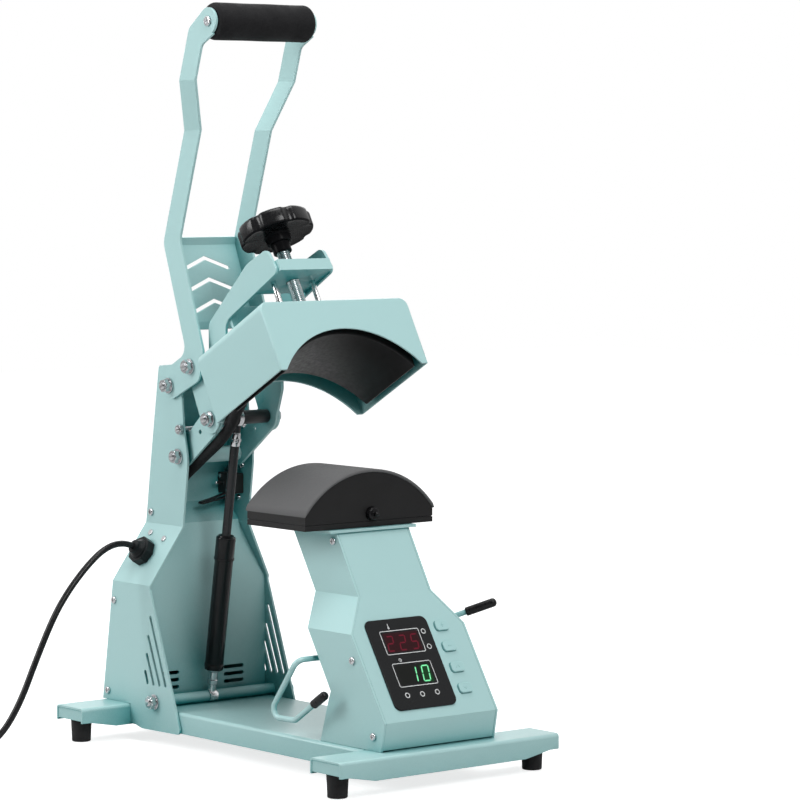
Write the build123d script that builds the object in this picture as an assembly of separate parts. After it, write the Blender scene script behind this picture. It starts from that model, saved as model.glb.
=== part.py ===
from build123d import *
import math
import os

# Clamshell cap heat press, millimetres, +Z up, front towards -Y.
# Origin: centre of the footprint of the frame, on the surface that its feet stand on.

# --- Driving dimensions ---------------------------------------------------------------
# Sheet metal and clearances
SHEET = 2.5                # frame, tower and post sheet
PLATE = 3.0                # handle arms, links
ARM_PLATE = 3.5            # head arm plates
GAP = 0.3                  # clearance between faces of different bodies
SEAM = 0.2                 # seam between covers of the frame
FIT = 0.06                 # radial running clearance
BOLT_FIT = 0.1             # radial clearance of bolts in the holes of their own body
BEND = 4.0                 # outer bend radius of the base channels

# Base
DEPTH = 500.0              # front bar face to rear edge of the tower
FRONT = -DEPTH / 2
REAR = DEPTH / 2
BAR_LENGTH = 290.6
BAR_DEPTH = 49.0
REAR_MARGIN = 3.0          # rear bar sits this far inside the rear edge
DECK_Z = 39.1              # top of bars and pan
FLANGE_Z = 22.7            # lower edge of the bar flanges at their ends
BELLY_Z = 16.5             # lower edge of the bar flanges in the middle, and of the pan
BELLY_START = 100.0        # half length of the deep part of a bar flange
PAN_WIDTH = 157.0
FOOT_TOP_D = 24.0
FOOT_BASE_D = 20.5
FOOT_EDGE = 15.8           # foot centre from the end of its bar
FOOT_INSET = 24.5          # foot centre behind the outer face of its bar

# Tower
TOWER_NECK = 91.0          # outer width above the sloped zone
TOWER_FOOT = 163.0         # outer width below it
SLOPE_TOP_Z = 235.0
SLOPE_LOW_Z = 172.0
TOWER_TOP_Z = 409.0
VENT = 4.2                 # width of the louvre slots
# Side view of the tower's rear edge, from the top down
TOWER_REAR = [(REAR - 58.0, TOWER_TOP_Z), (REAR - 42.5, 304.0), (REAR - 34.0, 241.0),
              (REAR - 21.0, 178.0)]
# Its front edge, from the top down, with corner radii
TOWER_FRONT = [(REAR - 92.0, TOWER_TOP_Z, 20), (REAR - 100.5, 373.0), (REAR - 103.5, 341.0),
               (REAR - 111.0, 308.7, 60), (REAR - 101.0, SLOPE_TOP_Z - 3),
               (REAR - 89.0, SLOPE_LOW_Z - 4), (REAR - 145.5, BELLY_Z - 1, 5)]
TOWER_TOP_ROUND = 4.0
# Leaning louvre slots of the side sheets: upper and lower ends
VENT_TOPS = [(REAR - 90.4, 137.4), (REAR - 86.5, 116.2), (REAR - 83.5, 96.2), (REAR - 80.5, 77.3)]
VENT_FEET = [(REAR - 117.6, 66.2), (REAR - 106.5, 66.0), (REAR - 95.5, 65.8), (REAR - 84.5, 66.2)]
PANEL_VENT_MIDS = (-53.0, 35.3)   # middles of the two groups of slots
PANEL_VENT_Z = 57.6        # lowest slot
PANEL_VENT_PITCH = 8.0
PANEL_VENT_LONG = 27.5
COVER_INSET = 0.8          # back cover inside the rear edge
COVER_TOP_Z = 379.0
PANEL_Y = REAR - 85.0      # cabinet's front panel
RECESS_Y = REAR - 64.0     # back wall of the recess above it
RECESS_LOW_Z = 237.0
RECESS_TOP_Z = 330.0

# Power switch on the back cover, and the limit switch in the recess
ROCKER_Z = 205.0
ROCKER_CUT = (19.0, 26.0)
ROCKER_SIZE = (14.0, 21.0)
ROCKER_ANGLE = 8.0
ROCKER_PIVOT = 1.0         # its axis outside the cover
ROCKER_PIN_D = 1.6
SWITCH_Z = 277.0
SWITCH_SIZE = (13.0, 30.0, 22.5)   # on the right side sheet, against the back wall
PLUNGER_D = 4.0
PLUNGER_OUT = 9.0
PLUNGER_TRAVEL = 3.0
PLUNGER_BACK = 8.0         # plunger behind the middle of its switch

# Screws of the covers (y, z)
TOWER_SCREWS = [(REAR - 23.0, 150.5), (REAR - 10.2, 49.4), (REAR - 43.5, 247.0)]
POST_SCREWS = [(FRONT + 132.0, 241.6), (FRONT + 67.5, 127.2), (FRONT + 34.0, 53.9)]
SCREW_BODY_D = 4.0
SCREW_HEAD_D = 8.0
SCREW_HEAD_H = 2.4
SCREW_LENGTH = 9.0
EAR = 12.0                 # screwed tabs of the covers

# Pivots in the side view (y, z)
ARM_PIVOT = (REAR - 93.3, 311.2)
HANDLE_PIVOT = (REAR - 81.5, 388.0)
TOGGLE = (REAR - 120.0, 410.5)
SPRING_TOP = (REAR - 146.7, 354.8)
SPRING_FOOT = (REAR - 97.5, 46.3)
STOP = (REAR - 99.5, 341.0)
LINK_RADIUS = 16.0
PIVOT_D = 8.0              # pivot bolts
STOP_D = 6.0
NUT_AF = 13.0              # nuts of the pivot bolts, across flats
NUT_H = 6.5
WASHER_D = 17.0
WASHER_T = 1.6
TOGGLE_PLAY = 2.2          # radial play of the toggle bolt in the link

# Handle
HANDLE_INNER = 46.0        # inner face of the arms at the foot
HANDLE_WIDE = 64.9         # inner face of the arms at the grip
JOG_LOW_Z = 665.0
JOG_TOP_Z = 718.0
# Side view of an arm, with corner radii: foot and front edge, then rear edge
ARM_FRONT = [(REAR - 66.5, 409.3, 6), (REAR - 61.5, 402.0, 7), (REAR - 82.5, 371.0, 12),
             (REAR - 136.5, 396.0, 13), (REAR - 144.2, 427.0, 14), (REAR - 102.0, 546.7, 20),
             (REAR - 168.5, 754.0, 10)]
ARM_REAR = [(REAR - 146.5, 772.5, 12), (REAR - 72.5, 543.0, 20), (REAR - 113.5, 424.8, 14),
            (REAR - 87.0, 411.2, 9)]
ARM_END_RADIUS = 14.5      # round end about the grip
GRIP_AXIS = (REAR - 181.0, 779.0)
TUBE_D = 25.0
TUBE_WALL = 1.5
FOAM_D = 40.0
CHEVRON = 4.3              # width of the chevron slots
CHEVRON_REACH = 28.7       # half width of a chevron
CHEVRON_RISE = 11.0
WEB_LINE = [(REAR - 108.5, 449.0), (REAR - 106.5, 457.0), (REAR - 73.5, 540.0),
            (REAR - 75.4, 549.0)]
CHEVRON_PITCH = 23.1
CHEVRON_TOP_Z = 526.0      # peak of the upper chevron

# Head
HEAD_TILT = 29.0           # degrees, open position
HEAD_CORNER = (REAR - 345.0, 419.0)   # front lower edge of the housing (y, z)
HOUSING_WIDTH = 197.0
HOUSING_LENGTH = 126.0
HOUSING_HEIGHT = 78.0
HOUSING_WALL = 2.0
HOUSING_ROUND = 10.0       # of the long edges of the roof
HOUSING_EDGE = 2.0         # of its other edges
PAD_RADIUS = 110.6         # outside of the silicone pad
PRESS_GAP = 0.9            # heating platen radius beyond the pad radius
ARCH_GAP = 2.9             # housing arch radius beyond the pad radius
ARCH_DROP = 69.2           # arch centre below the housing edge
PLATEN_THICK = 12.0
PLATEN_LENGTH = 92.0
PLATEN_SET_BACK = 8.0      # behind the inner face of the front wall
PLATEN_WIDTH = 176.0
STUD_D = 8.0
STUD_X = 52.0
STUD_MARGIN = 18.0         # from the ends of the heating platen
INSULATION_WIDTH = 150.0
HEATER_CABLE_D = 12.0
HEATER_CABLE_X = -28.5
# Along the lower edge of the arm, from the pivot up to the elbow
HEATER_ROUTE = [(REAR - 104.0, 297.0), (REAR - 122.0, 311.0), (REAR - 146.0, 329.5),
                (REAR - 166.0, 347.0), (REAR - 178.0, 366.0)]
HEATER_CABLE_N = 44.0      # height of its end above the housing edge
HEATER_CABLE_GAP = 2.0     # between its end and the sliding housing

# Pressure screw and guides, in the head's own frame (t along the head, n away from it)
SCREW_T = 52.0
SCREW_D = 14.0
THRUST_T = 6.0
CUP_D = 26.0
CUP_H = 10.0
NUT_PLATE_N = 126.0        # underside of the nut plate above the housing edge
NUT_PLATE_T = 13.0
NUT_PLATE_START = 24.0
NUT_PLATE_END = 80.0
ROD_D = 6.0
ROD_X = 26.0
KNOB_N = 161.0             # underside of the knob's hub
HUB_D = 25.0
HUB_H = 17.0
KNOB_D = 72.0
KNOB_WEB = 13.0            # thickness over the hollow
KNOB_WALL = 5.0
LOBE_D = 23.0
LOBE_INSET = 7.0
KNOB_H = 20.0
LOBES = 7

# Head arm
ARM_WIDTH = 77.0           # over both plates
EAR_N = 157.0              # top of the ears above the housing edge
ELBOW_REAR = (REAR - 140.0, 457.0, 14)     # corners of the plate, with their radii
ELBOW_FRONT = [(REAR - 173.0, 385.0, 18), (REAR - 170.0, 460.0, 16)]
ARM_TUBE_D = 17.0

# Gas spring
SPRING_X = -5.0            # the gas spring stands left of the middle
CYL_D = 20.5
CYL_WALL = 1.5
CYL_START = 30.0           # along the spring from its lower pivot
CYL_END = 179.5
GAS_ROD_D = 10.0
GUIDE_PLAY = 1.2           # radial play of the rod in the cylinder's mouth
EYE_D = 18.0
FOOT_EYE_D = 13.4          # lower eye and its sleeves clear the deck
EYE_T = 10.4
SLEEVE_D = 15.0
FOOT_SLEEVE_D = 12.0

# Post
POST_NECK = 97.2
POST_FOOT = 150.8
POST_BEND_Z = 187.7
POST_FLARE_Z = 153.5
POST_TOP_Z = 250.0
POST_TOP_Y = FRONT + 127.7 # front edge of the post at its top
PANEL_BEND = (FRONT + 91.5, 187.7)
PANEL_CHIN = (FRONT + 16.7, 68.8)
PANEL_FOOT = (FRONT + 22.4, 40.5)
TOP_PLATE_WIDTH = 116.0
RAIL_T = 2.9               # top plate

# Controls, in the plane of the inclined panel (x, distance down from its upper bend)
GLASS_SIZE = (81.6, 101.0)
GLASS_CENTRE = (-14.7, 78.6)
GLASS_ROUND = 8.0
GLASS_T = 1.6
BUTTON_SIZE = (17.0, 11.0)
BUTTON_ROUND = 3.6
BUTTON_X = 43.0
BUTTON_FIRST = 41.4
BUTTON_PITCH = 23.8
BUTTON_OUT = 2.6           # how far a button stands out of the panel
BUTTON_TRAVEL = 1.2
BOARD_DEPTH = 14.0         # control board behind the panel
BOARD_SIZE = (118.0, 104.0, 1.6)
BOARD_CENTRE = (-2.0, 76.0)

# Lower platen
LOWER_WIDTH = 170.0
LOWER_DEPTH = 98.0
LOWER_Y = FRONT + 132.5    # front face
LOWER_Z = 253.3            # underside
PAD_T = 3.5
PAD_LIP = 1.5
PAD_SIDE = 0.5             # pad beyond the block at the sides
PAD_APEX_Z = 313.4
LOCK_X = 2.0               # lock screw in the front face
LOCK_Z = 267.0
LOCK_D = 13.0
LOCK_STEM_D = 6.0

# Hold-down bail
BAIL_D = 6.0
BAIL_AXIS = (FRONT + 136.5, 122.0)    # cross part behind the post (y, z)
BAIL_HALF = 93.0
BAIL_TURN_X = 78.0         # right end of the cross part
BAIL_LEFT = [(FRONT + 91.0, 90.8), (FRONT + 139.5, 59.5), (FRONT + 184.5, 58.5)]
BAIL_RIGHT = [(88.5, FRONT + 110.5, 153.0), (123.5, FRONT + 78.5, 170.0)]
CAP_D = 9.5
CAP_LENGTHS = (24.0, 34.0)  # left and right
EAR_RADIUS = 6.5           # ears that the bail turns in
EAR_X = 46.0

# Supply cord
CORD_D = 7.0
GLAND_AT = (REAR - 55.0, 204.0)      # on the sloped face (y, z)
GLAND_AF = 27.0
GLAND_H = 10.0
NOSE_H = 8.0
GLAND_SCREWS = [(REAR - 50.0, 225.0), (REAR - 78.0, 220.5)]   # in the face above the gland
GLAND_SCREW_D = 7.0
SLOPE_HEAD_H = 1.6
COIL_RADIUS = 38.0         # middle of the turns
COIL_TURNS_WIDE = 2
COIL_TURNS_HIGH = 3
PLUG_SIZE = (36.0, 27.0, 20.0)

# --- Derived places -------------------------------------------------------------------
FOOT_X = BAR_LENGTH / 2 - FOOT_EDGE
REAR_BAR_Y = REAR - REAR_MARGIN - BAR_DEPTH      # its front face
PAN_START = FRONT + BAR_DEPTH
NECK = TOWER_NECK / 2
FOOT_HALF = TOWER_FOOT / 2
ARM_HALF = ARM_WIDTH / 2
ARM_INNER = ARM_HALF - ARM_PLATE
LINK_INNER = ARM_HALF + GAP
HANDLE_OUTER = HANDLE_INNER + PLATE
LOWER_CENTRE_Z = PAD_APEX_Z - PAD_RADIUS
ARCH_RADIUS = PAD_RADIUS + ARCH_GAP
PRESS_RADIUS = PAD_RADIUS + PRESS_GAP
PLATEN_START = HOUSING_WALL + PLATEN_SET_BACK
SPRING_LENGTH = math.hypot(SPRING_TOP[0] - SPRING_FOOT[0], SPRING_TOP[1] - SPRING_FOOT[1])
PANEL_LINE = [(PANEL_Y, DECK_Z + SEAM), (PANEL_Y, RECESS_LOW_Z),
              (RECESS_Y, RECESS_LOW_Z + RECESS_Y - PANEL_Y), (RECESS_Y, RECESS_TOP_Z)]
FRONT_EDGE = [(POST_TOP_Y, POST_TOP_Z), PANEL_BEND, PANEL_CHIN, PANEL_FOOT]
REAR_EDGE = [(FRONT + 199.5, POST_TOP_Z), (FRONT + 161.2, 186.5), (FRONT + 138.6, 149.4),
             (FRONT + 103.3, 92.4), (FRONT + 108.0, 78.5), (FRONT + 120.0, DECK_Z + SEAM)]

TILT = math.radians(HEAD_TILT)
HEAD = Plane(
    origin=(0, HEAD_CORNER[0], HEAD_CORNER[1]),
    x_dir=(1, 0, 0),
    z_dir=(0, math.sin(TILT), math.cos(TILT)),
)


# --- Helpers --------------------------------------------------------------------------
def outline(corners):
    """Closed flat outline from (a, b) or (a, b, radius) corners."""
    points = [(corner[0], corner[1]) for corner in corners]
    radii = [corner[2] if len(corner) > 2 else 0 for corner in corners]
    if any(radii):
        return make_face(FilletPolyline(*points, radius=radii, close=True))
    return make_face(Polyline(*points, close=True))


def side_slab(face, x_low, x_high):
    """A (y, z) face carried from x_low to x_high."""
    return extrude(Plane.YZ.offset(x_low) * face, amount=x_high - x_low, dir=(1, 0, 0))


def front_slab(face, y_low, y_high):
    """An (x, z) face carried from y_low to y_high."""
    plane = Plane(origin=(0, y_low, 0), x_dir=(1, 0, 0), z_dir=(0, -1, 0))
    return extrude(plane * face, amount=y_high - y_low, dir=(0, 1, 0))


def offset_line(points, reach):
    """The line moved to its left, mitred at its corners."""
    inner = []
    last = len(points) - 1
    for i, (a, b) in enumerate(points):
        before = points[max(i - 1, 0)]
        here = points[i]
        after = points[min(i + 1, last)]
        d1 = Vector(here[0] - before[0], here[1] - before[1])
        d2 = Vector(after[0] - here[0], after[1] - here[1])
        d1 = (d1 if i > 0 else d2).normalized()
        d2 = (d2 if i < last else d1).normalized()
        middle = Vector(-d1.Y - d2.Y, d1.X + d2.X).normalized()
        step = reach / middle.dot(Vector(-d1.Y, d1.X))
        inner.append((a + middle.X * step, b + middle.Y * step))
    return inner


def folded(points, thickness):
    """Face of a folded sheet: the points are one side, the other lies to their left."""
    inner = offset_line(points, thickness)
    return make_face(Polyline(*points, *reversed(inner), close=True))


def rod_x(at, diameter, x_low, x_high):
    """Round bar along X through the (y, z) point at."""
    return side_slab(Pos(at[0], at[1]) * Circle(diameter / 2), x_low, x_high)


def ring_x(at, outer, bore, x_low, x_high):
    return rod_x(at, outer, x_low, x_high) - rod_x(at, bore, x_low - 1, x_high + 1)


def hex_x(at, across_flats, x_low, x_high):
    face = Pos(at[0], at[1]) * RegularPolygon(across_flats / math.sqrt(3), 6)
    solid = side_slab(face, x_low, x_high)
    return solid & rod_x(at, across_flats * 1.1, x_low, x_high)


def lever(start, start_radius, end, end_radius):
    """Flat lever: the hull of two circles in the side view."""
    ends = Pos(*start) * Circle(start_radius) + Pos(*end) * Circle(end_radius)
    return make_hull(ends.edges())


def mirrored(shape):
    return mirror(shape, about=Plane.YZ)


def lone(shape):
    """The largest solid of a result."""
    return max(shape.solids(), key=lambda solid: solid.volume)


def group(*shapes):
    """Several separate solids in one sub-part."""
    solids = []
    for shape in shapes:
        solids.extend(shape.solids())
    return Compound(children=[copy_of(solid) for solid in solids])


def copy_of(solid):
    return Solid(solid.wrapped)


def tube_path(points, share=0.45):
    """Straight runs joined by the largest tangent arcs that they allow."""
    vectors = [Vector(*point) for point in points]
    radii = []
    for before, here, after in zip(vectors, vectors[1:], vectors[2:]):
        turn = math.radians((here - before).get_angle(after - here))
        run = min((here - before).length, (after - here).length)
        radii.append(share * run / math.tan(turn / 2))
    return FilletPolyline(*vectors, radius=radii), radii


def round_tube(points, diameter, share=0.45):
    path, radii = tube_path(points, share)
    start = path % 0
    section = Plane(origin=path @ 0, z_dir=start) * Circle(diameter / 2)
    return sweep(section, path=path), path.length, radii


def bolt_pair(at, x_face, diameter=PIVOT_D, flats=NUT_AF, nut=NUT_H, washer=WASHER_D):
    """Through bolt clamping faces at -x_face and +x_face: bolt, two washers, one nut."""
    tip = x_face + WASHER_T + nut + 2.0
    head = x_face + WASHER_T
    bolt = rod_x(at, diameter, -tip, head) + hex_x(at, flats, head, head + 0.75 * nut)
    bore = diameter + 2 * BOLT_FIT
    near = ring_x(at, washer, bore, -x_face - WASHER_T, -x_face)
    far = ring_x(at, washer, bore, x_face, x_face + WASHER_T)
    hexagon = hex_x(at, flats, -head - nut, -head)
    nut_solid = hexagon - rod_x(at, bore, -head - nut - 1, -head + 1)
    return group(bolt, near, far, nut_solid)


# --- Base -----------------------------------------------------------------------------
def bar(y_front):
    """U channel across the machine, open below, deeper in the middle, ends closed."""
    half = BAR_LENGTH / 2
    height = DECK_Z - BELLY_Z
    centre = Pos(0, y_front + BAR_DEPTH / 2, BELLY_Z + height / 2)
    outer = centre * Box(BAR_LENGTH, BAR_DEPTH, height)
    outer = fillet(outer.edges().filter_by(Axis.X).group_by(Axis.Z)[-1], BEND)
    hollow = Pos(0, y_front + BAR_DEPTH / 2, BELLY_Z + (height - SHEET) / 2 - 1)
    inner = hollow * Box(BAR_LENGTH + 2, BAR_DEPTH - 2 * SHEET, height - SHEET + 2)
    inner = fillet(inner.edges().filter_by(Axis.X).group_by(Axis.Z)[-1], BEND - SHEET)
    trim = outline([(half + 1, BELLY_Z - 1), (half + 1, FLANGE_Z), (half - 12, FLANGE_Z),
                    (BELLY_START, BELLY_Z - 0.01), (BELLY_START, BELLY_Z - 1)])
    cutter = front_slab(trim, y_front - 1, y_front + BAR_DEPTH + 1)
    flap_height = DECK_Z - SHEET - FLANGE_Z - 2
    flap = Pos(half - SHEET / 2 - 1, y_front + BAR_DEPTH / 2, DECK_Z - SHEET / 2 - flap_height / 2)
    flap = flap * Box(SHEET, BAR_DEPTH - 2 * SHEET + 1, flap_height + SHEET)
    body = outer - inner - cutter - mirrored(cutter)
    body = body + (flap & outer) + (mirrored(flap) & outer)
    return body


def make_front_crossbar():
    return lone(bar(FRONT))


def make_rear_crossbar():
    return lone(bar(REAR_BAR_Y))


def make_base_pan():
    """Channel between the bars, open below and at both ends."""
    length = REAR_BAR_Y - PAN_START - 2 * SEAM
    height = DECK_Z - BELLY_Z
    y_mid = (REAR_BAR_Y + PAN_START) / 2
    outer = Pos(0, y_mid, BELLY_Z + height / 2) * Box(PAN_WIDTH, length, height)
    outer = fillet(outer.edges().filter_by(Axis.Y).group_by(Axis.Z)[-1], BEND)
    inner = Pos(0, y_mid, BELLY_Z + (height - SHEET) / 2 - 1)
    inner = inner * Box(PAN_WIDTH - 2 * SHEET, length + 2, height - SHEET + 2)
    inner = fillet(inner.edges().filter_by(Axis.Y).group_by(Axis.Z)[-1], BEND - SHEET)
    return lone(outer - inner)


def make_rubber_feet():
    feet = []
    height = DECK_Z - SHEET
    for x in (-FOOT_X, FOOT_X):
        for y in (FRONT + FOOT_INSET, REAR - REAR_MARGIN - FOOT_INSET):
            foot = Pos(x, y, height / 2) * Cone(FOOT_BASE_D / 2, FOOT_TOP_D / 2, height)
            feet.append(foot)
    return group(*feet)


# --- Tower ----------------------------------------------------------------------------
def tower_outline():
    """Side view of the tower sheet, seen from +X."""
    rear = list(reversed(TOWER_REAR[1:]))
    return outline([
        (REAR, DECK_Z + SEAM), *rear, (*TOWER_REAR[0], TOWER_TOP_ROUND), *TOWER_FRONT,
        (REAR_BAR_Y - 22, BELLY_Z - 2, 20),
        (REAR_BAR_Y - SEAM, FLANGE_Z - 3), (REAR_BAR_Y - SEAM, DECK_Z + SEAM),
    ])


def tower_profile():
    """Front view of one tower sheet: straight neck, slope, straight foot."""
    return [(FOOT_HALF, BELLY_Z - 20), (FOOT_HALF, SLOPE_LOW_Z), (NECK, SLOPE_TOP_Z),
            (NECK, TOWER_TOP_Z + 20)]


def side_vents():
    """Four leaning louvre slots above the foot, cut through the side sheet."""
    cuts = []
    for top, foot in zip(VENT_TOPS, VENT_FEET):
        cuts.append(lever(top, VENT / 2, foot, VENT / 2))
    return cuts


def make_tower_side():
    sheet = front_slab(folded(tower_profile(), SHEET), 0, REAR + 10)
    side = sheet & side_slab(tower_outline(), 0, FOOT_HALF + 10)
    for at, bore in ((ARM_PIVOT, PIVOT_D), (HANDLE_PIVOT, PIVOT_D), (SPRING_FOOT, PIVOT_D),
                     (STOP, STOP_D)):
        side = side - rod_x(at, bore + 2 * BOLT_FIT, 0, FOOT_HALF + 10)
    for cut in side_vents():
        side = side - side_slab(cut, NECK, FOOT_HALF + 10)
    for y, z in TOWER_SCREWS:
        side = side - rod_x((y, z), SCREW_BODY_D + 2 * BOLT_FIT, 0, FOOT_HALF + 10)
    return lone(side)


def tower_inside(inset):
    """Clear room between the two side sheets."""
    half = offset_line(tower_profile(), SHEET + inset)
    face = make_face(Polyline(*half, *[(-x, z) for x, z in reversed(half)], close=True))
    return front_slab(face, 0, REAR + 10)


def make_tower_inner_panel():
    """Front cover of the tower's cabinet, with two groups of three vent slots."""
    panel = side_slab(folded(PANEL_LINE, -SHEET), -FOOT_HALF, FOOT_HALF) & tower_inside(SEAM)
    for middle in PANEL_VENT_MIDS:
        for row in range(3):
            at = (middle, PANEL_VENT_Z + PANEL_VENT_PITCH * row)
            slot = Pos(*at) * SlotOverall(PANEL_VENT_LONG, VENT)
            panel = panel - front_slab(slot, PANEL_LINE[0][0] - 5, PANEL_LINE[0][0] + 8)
    return lone(panel)


def back_line():
    """Outer face of the back cover in the side view, from the top down."""
    (y1, z1), (y2, z2) = TOWER_REAR[0], TOWER_REAR[1]
    top = y1 + (z1 - COVER_TOP_Z) / (z1 - z2) * (y2 - y1)
    line = [(top, COVER_TOP_Z), *TOWER_REAR[1:], (REAR, DECK_Z + SEAM)]
    return [(y - COVER_INSET, z) for y, z in line]


def screw_ear(at, face, towards):
    """Tab of a cover inside a side sheet at x=face, reaching from the screw to the cover."""
    y, z = at
    tab = side_slab(Pos(y + towards * EAR / 4, z) * Rectangle(1.5 * EAR, EAR), face - SHEET, face)
    return tab - rod_x(at, SCREW_BODY_D + 2 * BOLT_FIT, face - EAR, face + EAR)


def make_tower_back_cover():
    """Rear cover between the side sheets, with the rocker's cut-out and screwed tabs."""
    line = back_line()
    cover = side_slab(folded(line, -SHEET), -FOOT_HALF, FOOT_HALF) & tower_inside(SEAM)
    ahead = [(y - 3 * EAR, z) for y, z in line]
    within = side_slab(make_face(Polyline(*line, *reversed(ahead), close=True)), -90, 90)
    for at in TOWER_SCREWS:
        face = (FOOT_HALF if at[1] < SLOPE_LOW_Z else NECK) - SHEET - SEAM
        ear = screw_ear(at, face, 1) & within
        cover = cover + ear + mirrored(ear)
    cutout = Pos(0, ROCKER_Z) * Rectangle(ROCKER_CUT[0], ROCKER_CUT[1])
    cover = cover - front_slab(cutout, 190, REAR + 10)
    for row in range(5):
        slot = Pos(0, 62 + 9 * row) * SlotOverall(70, VENT)
        cover = cover - front_slab(slot, 190, REAR + 10)
    return lone(cover)


def back_slope():
    """Angle of the back cover, from upright, where the switch sits."""
    (y1, z1), (y2, z2) = back_line()[2:4]
    return math.atan2(y2 - y1, z1 - z2)


def switch_plane():
    (y1, z1), (y2, z2) = back_line()[2:4]
    share = (z1 - ROCKER_Z) / (z1 - z2)
    at = (0, y1 + share * (y2 - y1), ROCKER_Z)
    slope = back_slope()
    return Plane(origin=at, x_dir=(-1, 0, 0), z_dir=(0, math.cos(slope), math.sin(slope)))


def make_power_switch():
    """Bezel and body of the rocker switch."""
    wide, high = ROCKER_CUT
    bezel = Pos(0, 0, 1.2) * Box(wide + 5, high + 5, 2.4)
    body = Pos(0, 0, -9) * Box(wide - 1.0, high - 3.0, 18)
    well = Pos(0, 0, -3) * Box(ROCKER_SIZE[0] + 2 * GAP, ROCKER_SIZE[1] + 2 * GAP + 1.2, 11)
    pin = Pos(0, 0, ROCKER_PIVOT) * Rot(0, 90, 0) * Cylinder(ROCKER_PIN_D / 2, ROCKER_CUT[0] - 2)
    return lone(switch_plane() * (bezel + body - well + pin))


def make_power_rocker():
    """Rocking key with its two faces at an angle."""
    wide, high = ROCKER_SIZE
    half = high / 2
    rise = half * math.tan(math.radians(ROCKER_ANGLE))
    side = outline([(-half, -3), (0, -6), (half, -3), (half, 2.2 + 2 * rise), (0, 2.2),
                    (-half, 2.2)])
    key = extrude(Plane.YZ.offset(-wide / 2) * side, amount=wide, dir=(1, 0, 0))
    bore = Pos(0, 0, ROCKER_PIVOT) * Rot(0, 90, 0) * Cylinder(ROCKER_PIN_D / 2 + FIT, wide + 2)
    return lone(switch_plane() * (key - bore))


def pan_screw(at, x_face, side):
    """Pan head screw driven inwards along X at (y, z), its head on x_face."""
    head = rod_x(at, SCREW_HEAD_D, x_face, x_face + SCREW_HEAD_H)
    head = fillet(head.edges().group_by(Axis.X)[-1], SCREW_HEAD_H * 0.55)
    body = rod_x(at, SCREW_BODY_D, x_face - SCREW_LENGTH, x_face)
    cross = [Rectangle(4.6, 0.9), Rectangle(0.9, 4.6)]
    screw = head + body
    for arm in cross:
        face = Pos(at[0], at[1]) * arm
        screw = screw - side_slab(face, x_face + SCREW_HEAD_H - 1.2, x_face + SCREW_HEAD_H + 1)
    return screw if side > 0 else mirrored(screw)


def make_cover_screws():
    """Screws of the tower and the post, both sides."""
    screws = []
    for side in (-1, 1):
        for y, z in TOWER_SCREWS:
            face = FOOT_HALF if z < SLOPE_LOW_Z else NECK
            screws.append(pan_screw((y, z), face, side))
        for y, z in POST_SCREWS:
            face = POST_FOOT / 2 if z < POST_FLARE_Z else POST_NECK / 2
            screws.append(pan_screw((y, z), face, side))
    return group(*screws, *slope_screws())


def make_pivot_bolts():
    """Arm, handle and gas spring pivot bolts of the frame."""
    return group(
        bolt_pair(ARM_PIVOT, NECK),
        bolt_pair(HANDLE_PIVOT, HANDLE_OUTER + GAP),
        bolt_pair(SPRING_FOOT, FOOT_HALF),
    )


def make_stop_rod():
    """Cross rod that the head arm rests on when the press is open."""
    tip = NECK + 7
    rod = rod_x(STOP, STOP_D, -tip, tip)
    bore = STOP_D + 2 * BOLT_FIT
    nuts = [hex_x(STOP, 10, NECK, NECK + 5) - rod_x(STOP, bore, NECK - 1, NECK + 6)]
    nuts.append(mirrored(nuts[0]))
    return group(rod, *nuts)


def make_spring_sleeves():
    """Tubes that centre the gas spring on its lower bolt."""
    inner = EYE_T / 2 + GAP
    end = FOOT_HALF - SHEET
    bore = PIVOT_D + 2 * BOLT_FIT
    return group(ring_x(SPRING_FOOT, FOOT_SLEEVE_D, bore, SPRING_X + inner, end),
                 ring_x(SPRING_FOOT, FOOT_SLEEVE_D, bore, -end, SPRING_X - inner))


def switch_place():
    """Middle of the switch."""
    return (NECK - SHEET - SWITCH_SIZE[0] / 2, RECESS_Y - SWITCH_SIZE[1] / 2, SWITCH_Z)


def make_limit_switch():
    x, y, z = switch_place()
    body = Pos(x, y, z) * Box(*SWITCH_SIZE)
    body = fillet(body.edges().filter_by(Axis.X), 2)
    at = Pos(y + PLUNGER_BACK, z)
    bore = side_slab(at * Circle(PLUNGER_D / 2 + FIT), x - SWITCH_SIZE[0] / 2 - 1, NECK - 2 * SHEET)
    return lone(body - bore)


def make_switch_plunger():
    x, y, z = switch_place()
    face = x - SWITCH_SIZE[0] / 2
    end = NECK - 2 * SHEET - PLUNGER_TRAVEL - GAP
    pin = side_slab(Pos(y + PLUNGER_BACK, z) * Circle(PLUNGER_D / 2), face - PLUNGER_OUT, end)
    return lone(fillet(pin.edges().group_by(Axis.X)[0], 1.2))


# --- Supply cord ----------------------------------------------------------------------
def left_slope(at):
    """Plane on the left sloped face at (y, z), normal to it."""
    y, z = at
    share = (SLOPE_TOP_Z - z) / (SLOPE_TOP_Z - SLOPE_LOW_Z)
    x = NECK + share * (FOOT_HALF - NECK)
    run = FOOT_HALF - NECK
    fall = SLOPE_TOP_Z - SLOPE_LOW_Z
    return Plane(origin=(-x, y, z), x_dir=(0, 1, 0), z_dir=(-fall, 0, run))


def slope_screw_bores():
    """Holes of the two screws above the gland."""
    return [left_slope(at) * Cylinder(SCREW_BODY_D / 2 + BOLT_FIT, SCREW_LENGTH)
            for at in GLAND_SCREWS]


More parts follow.
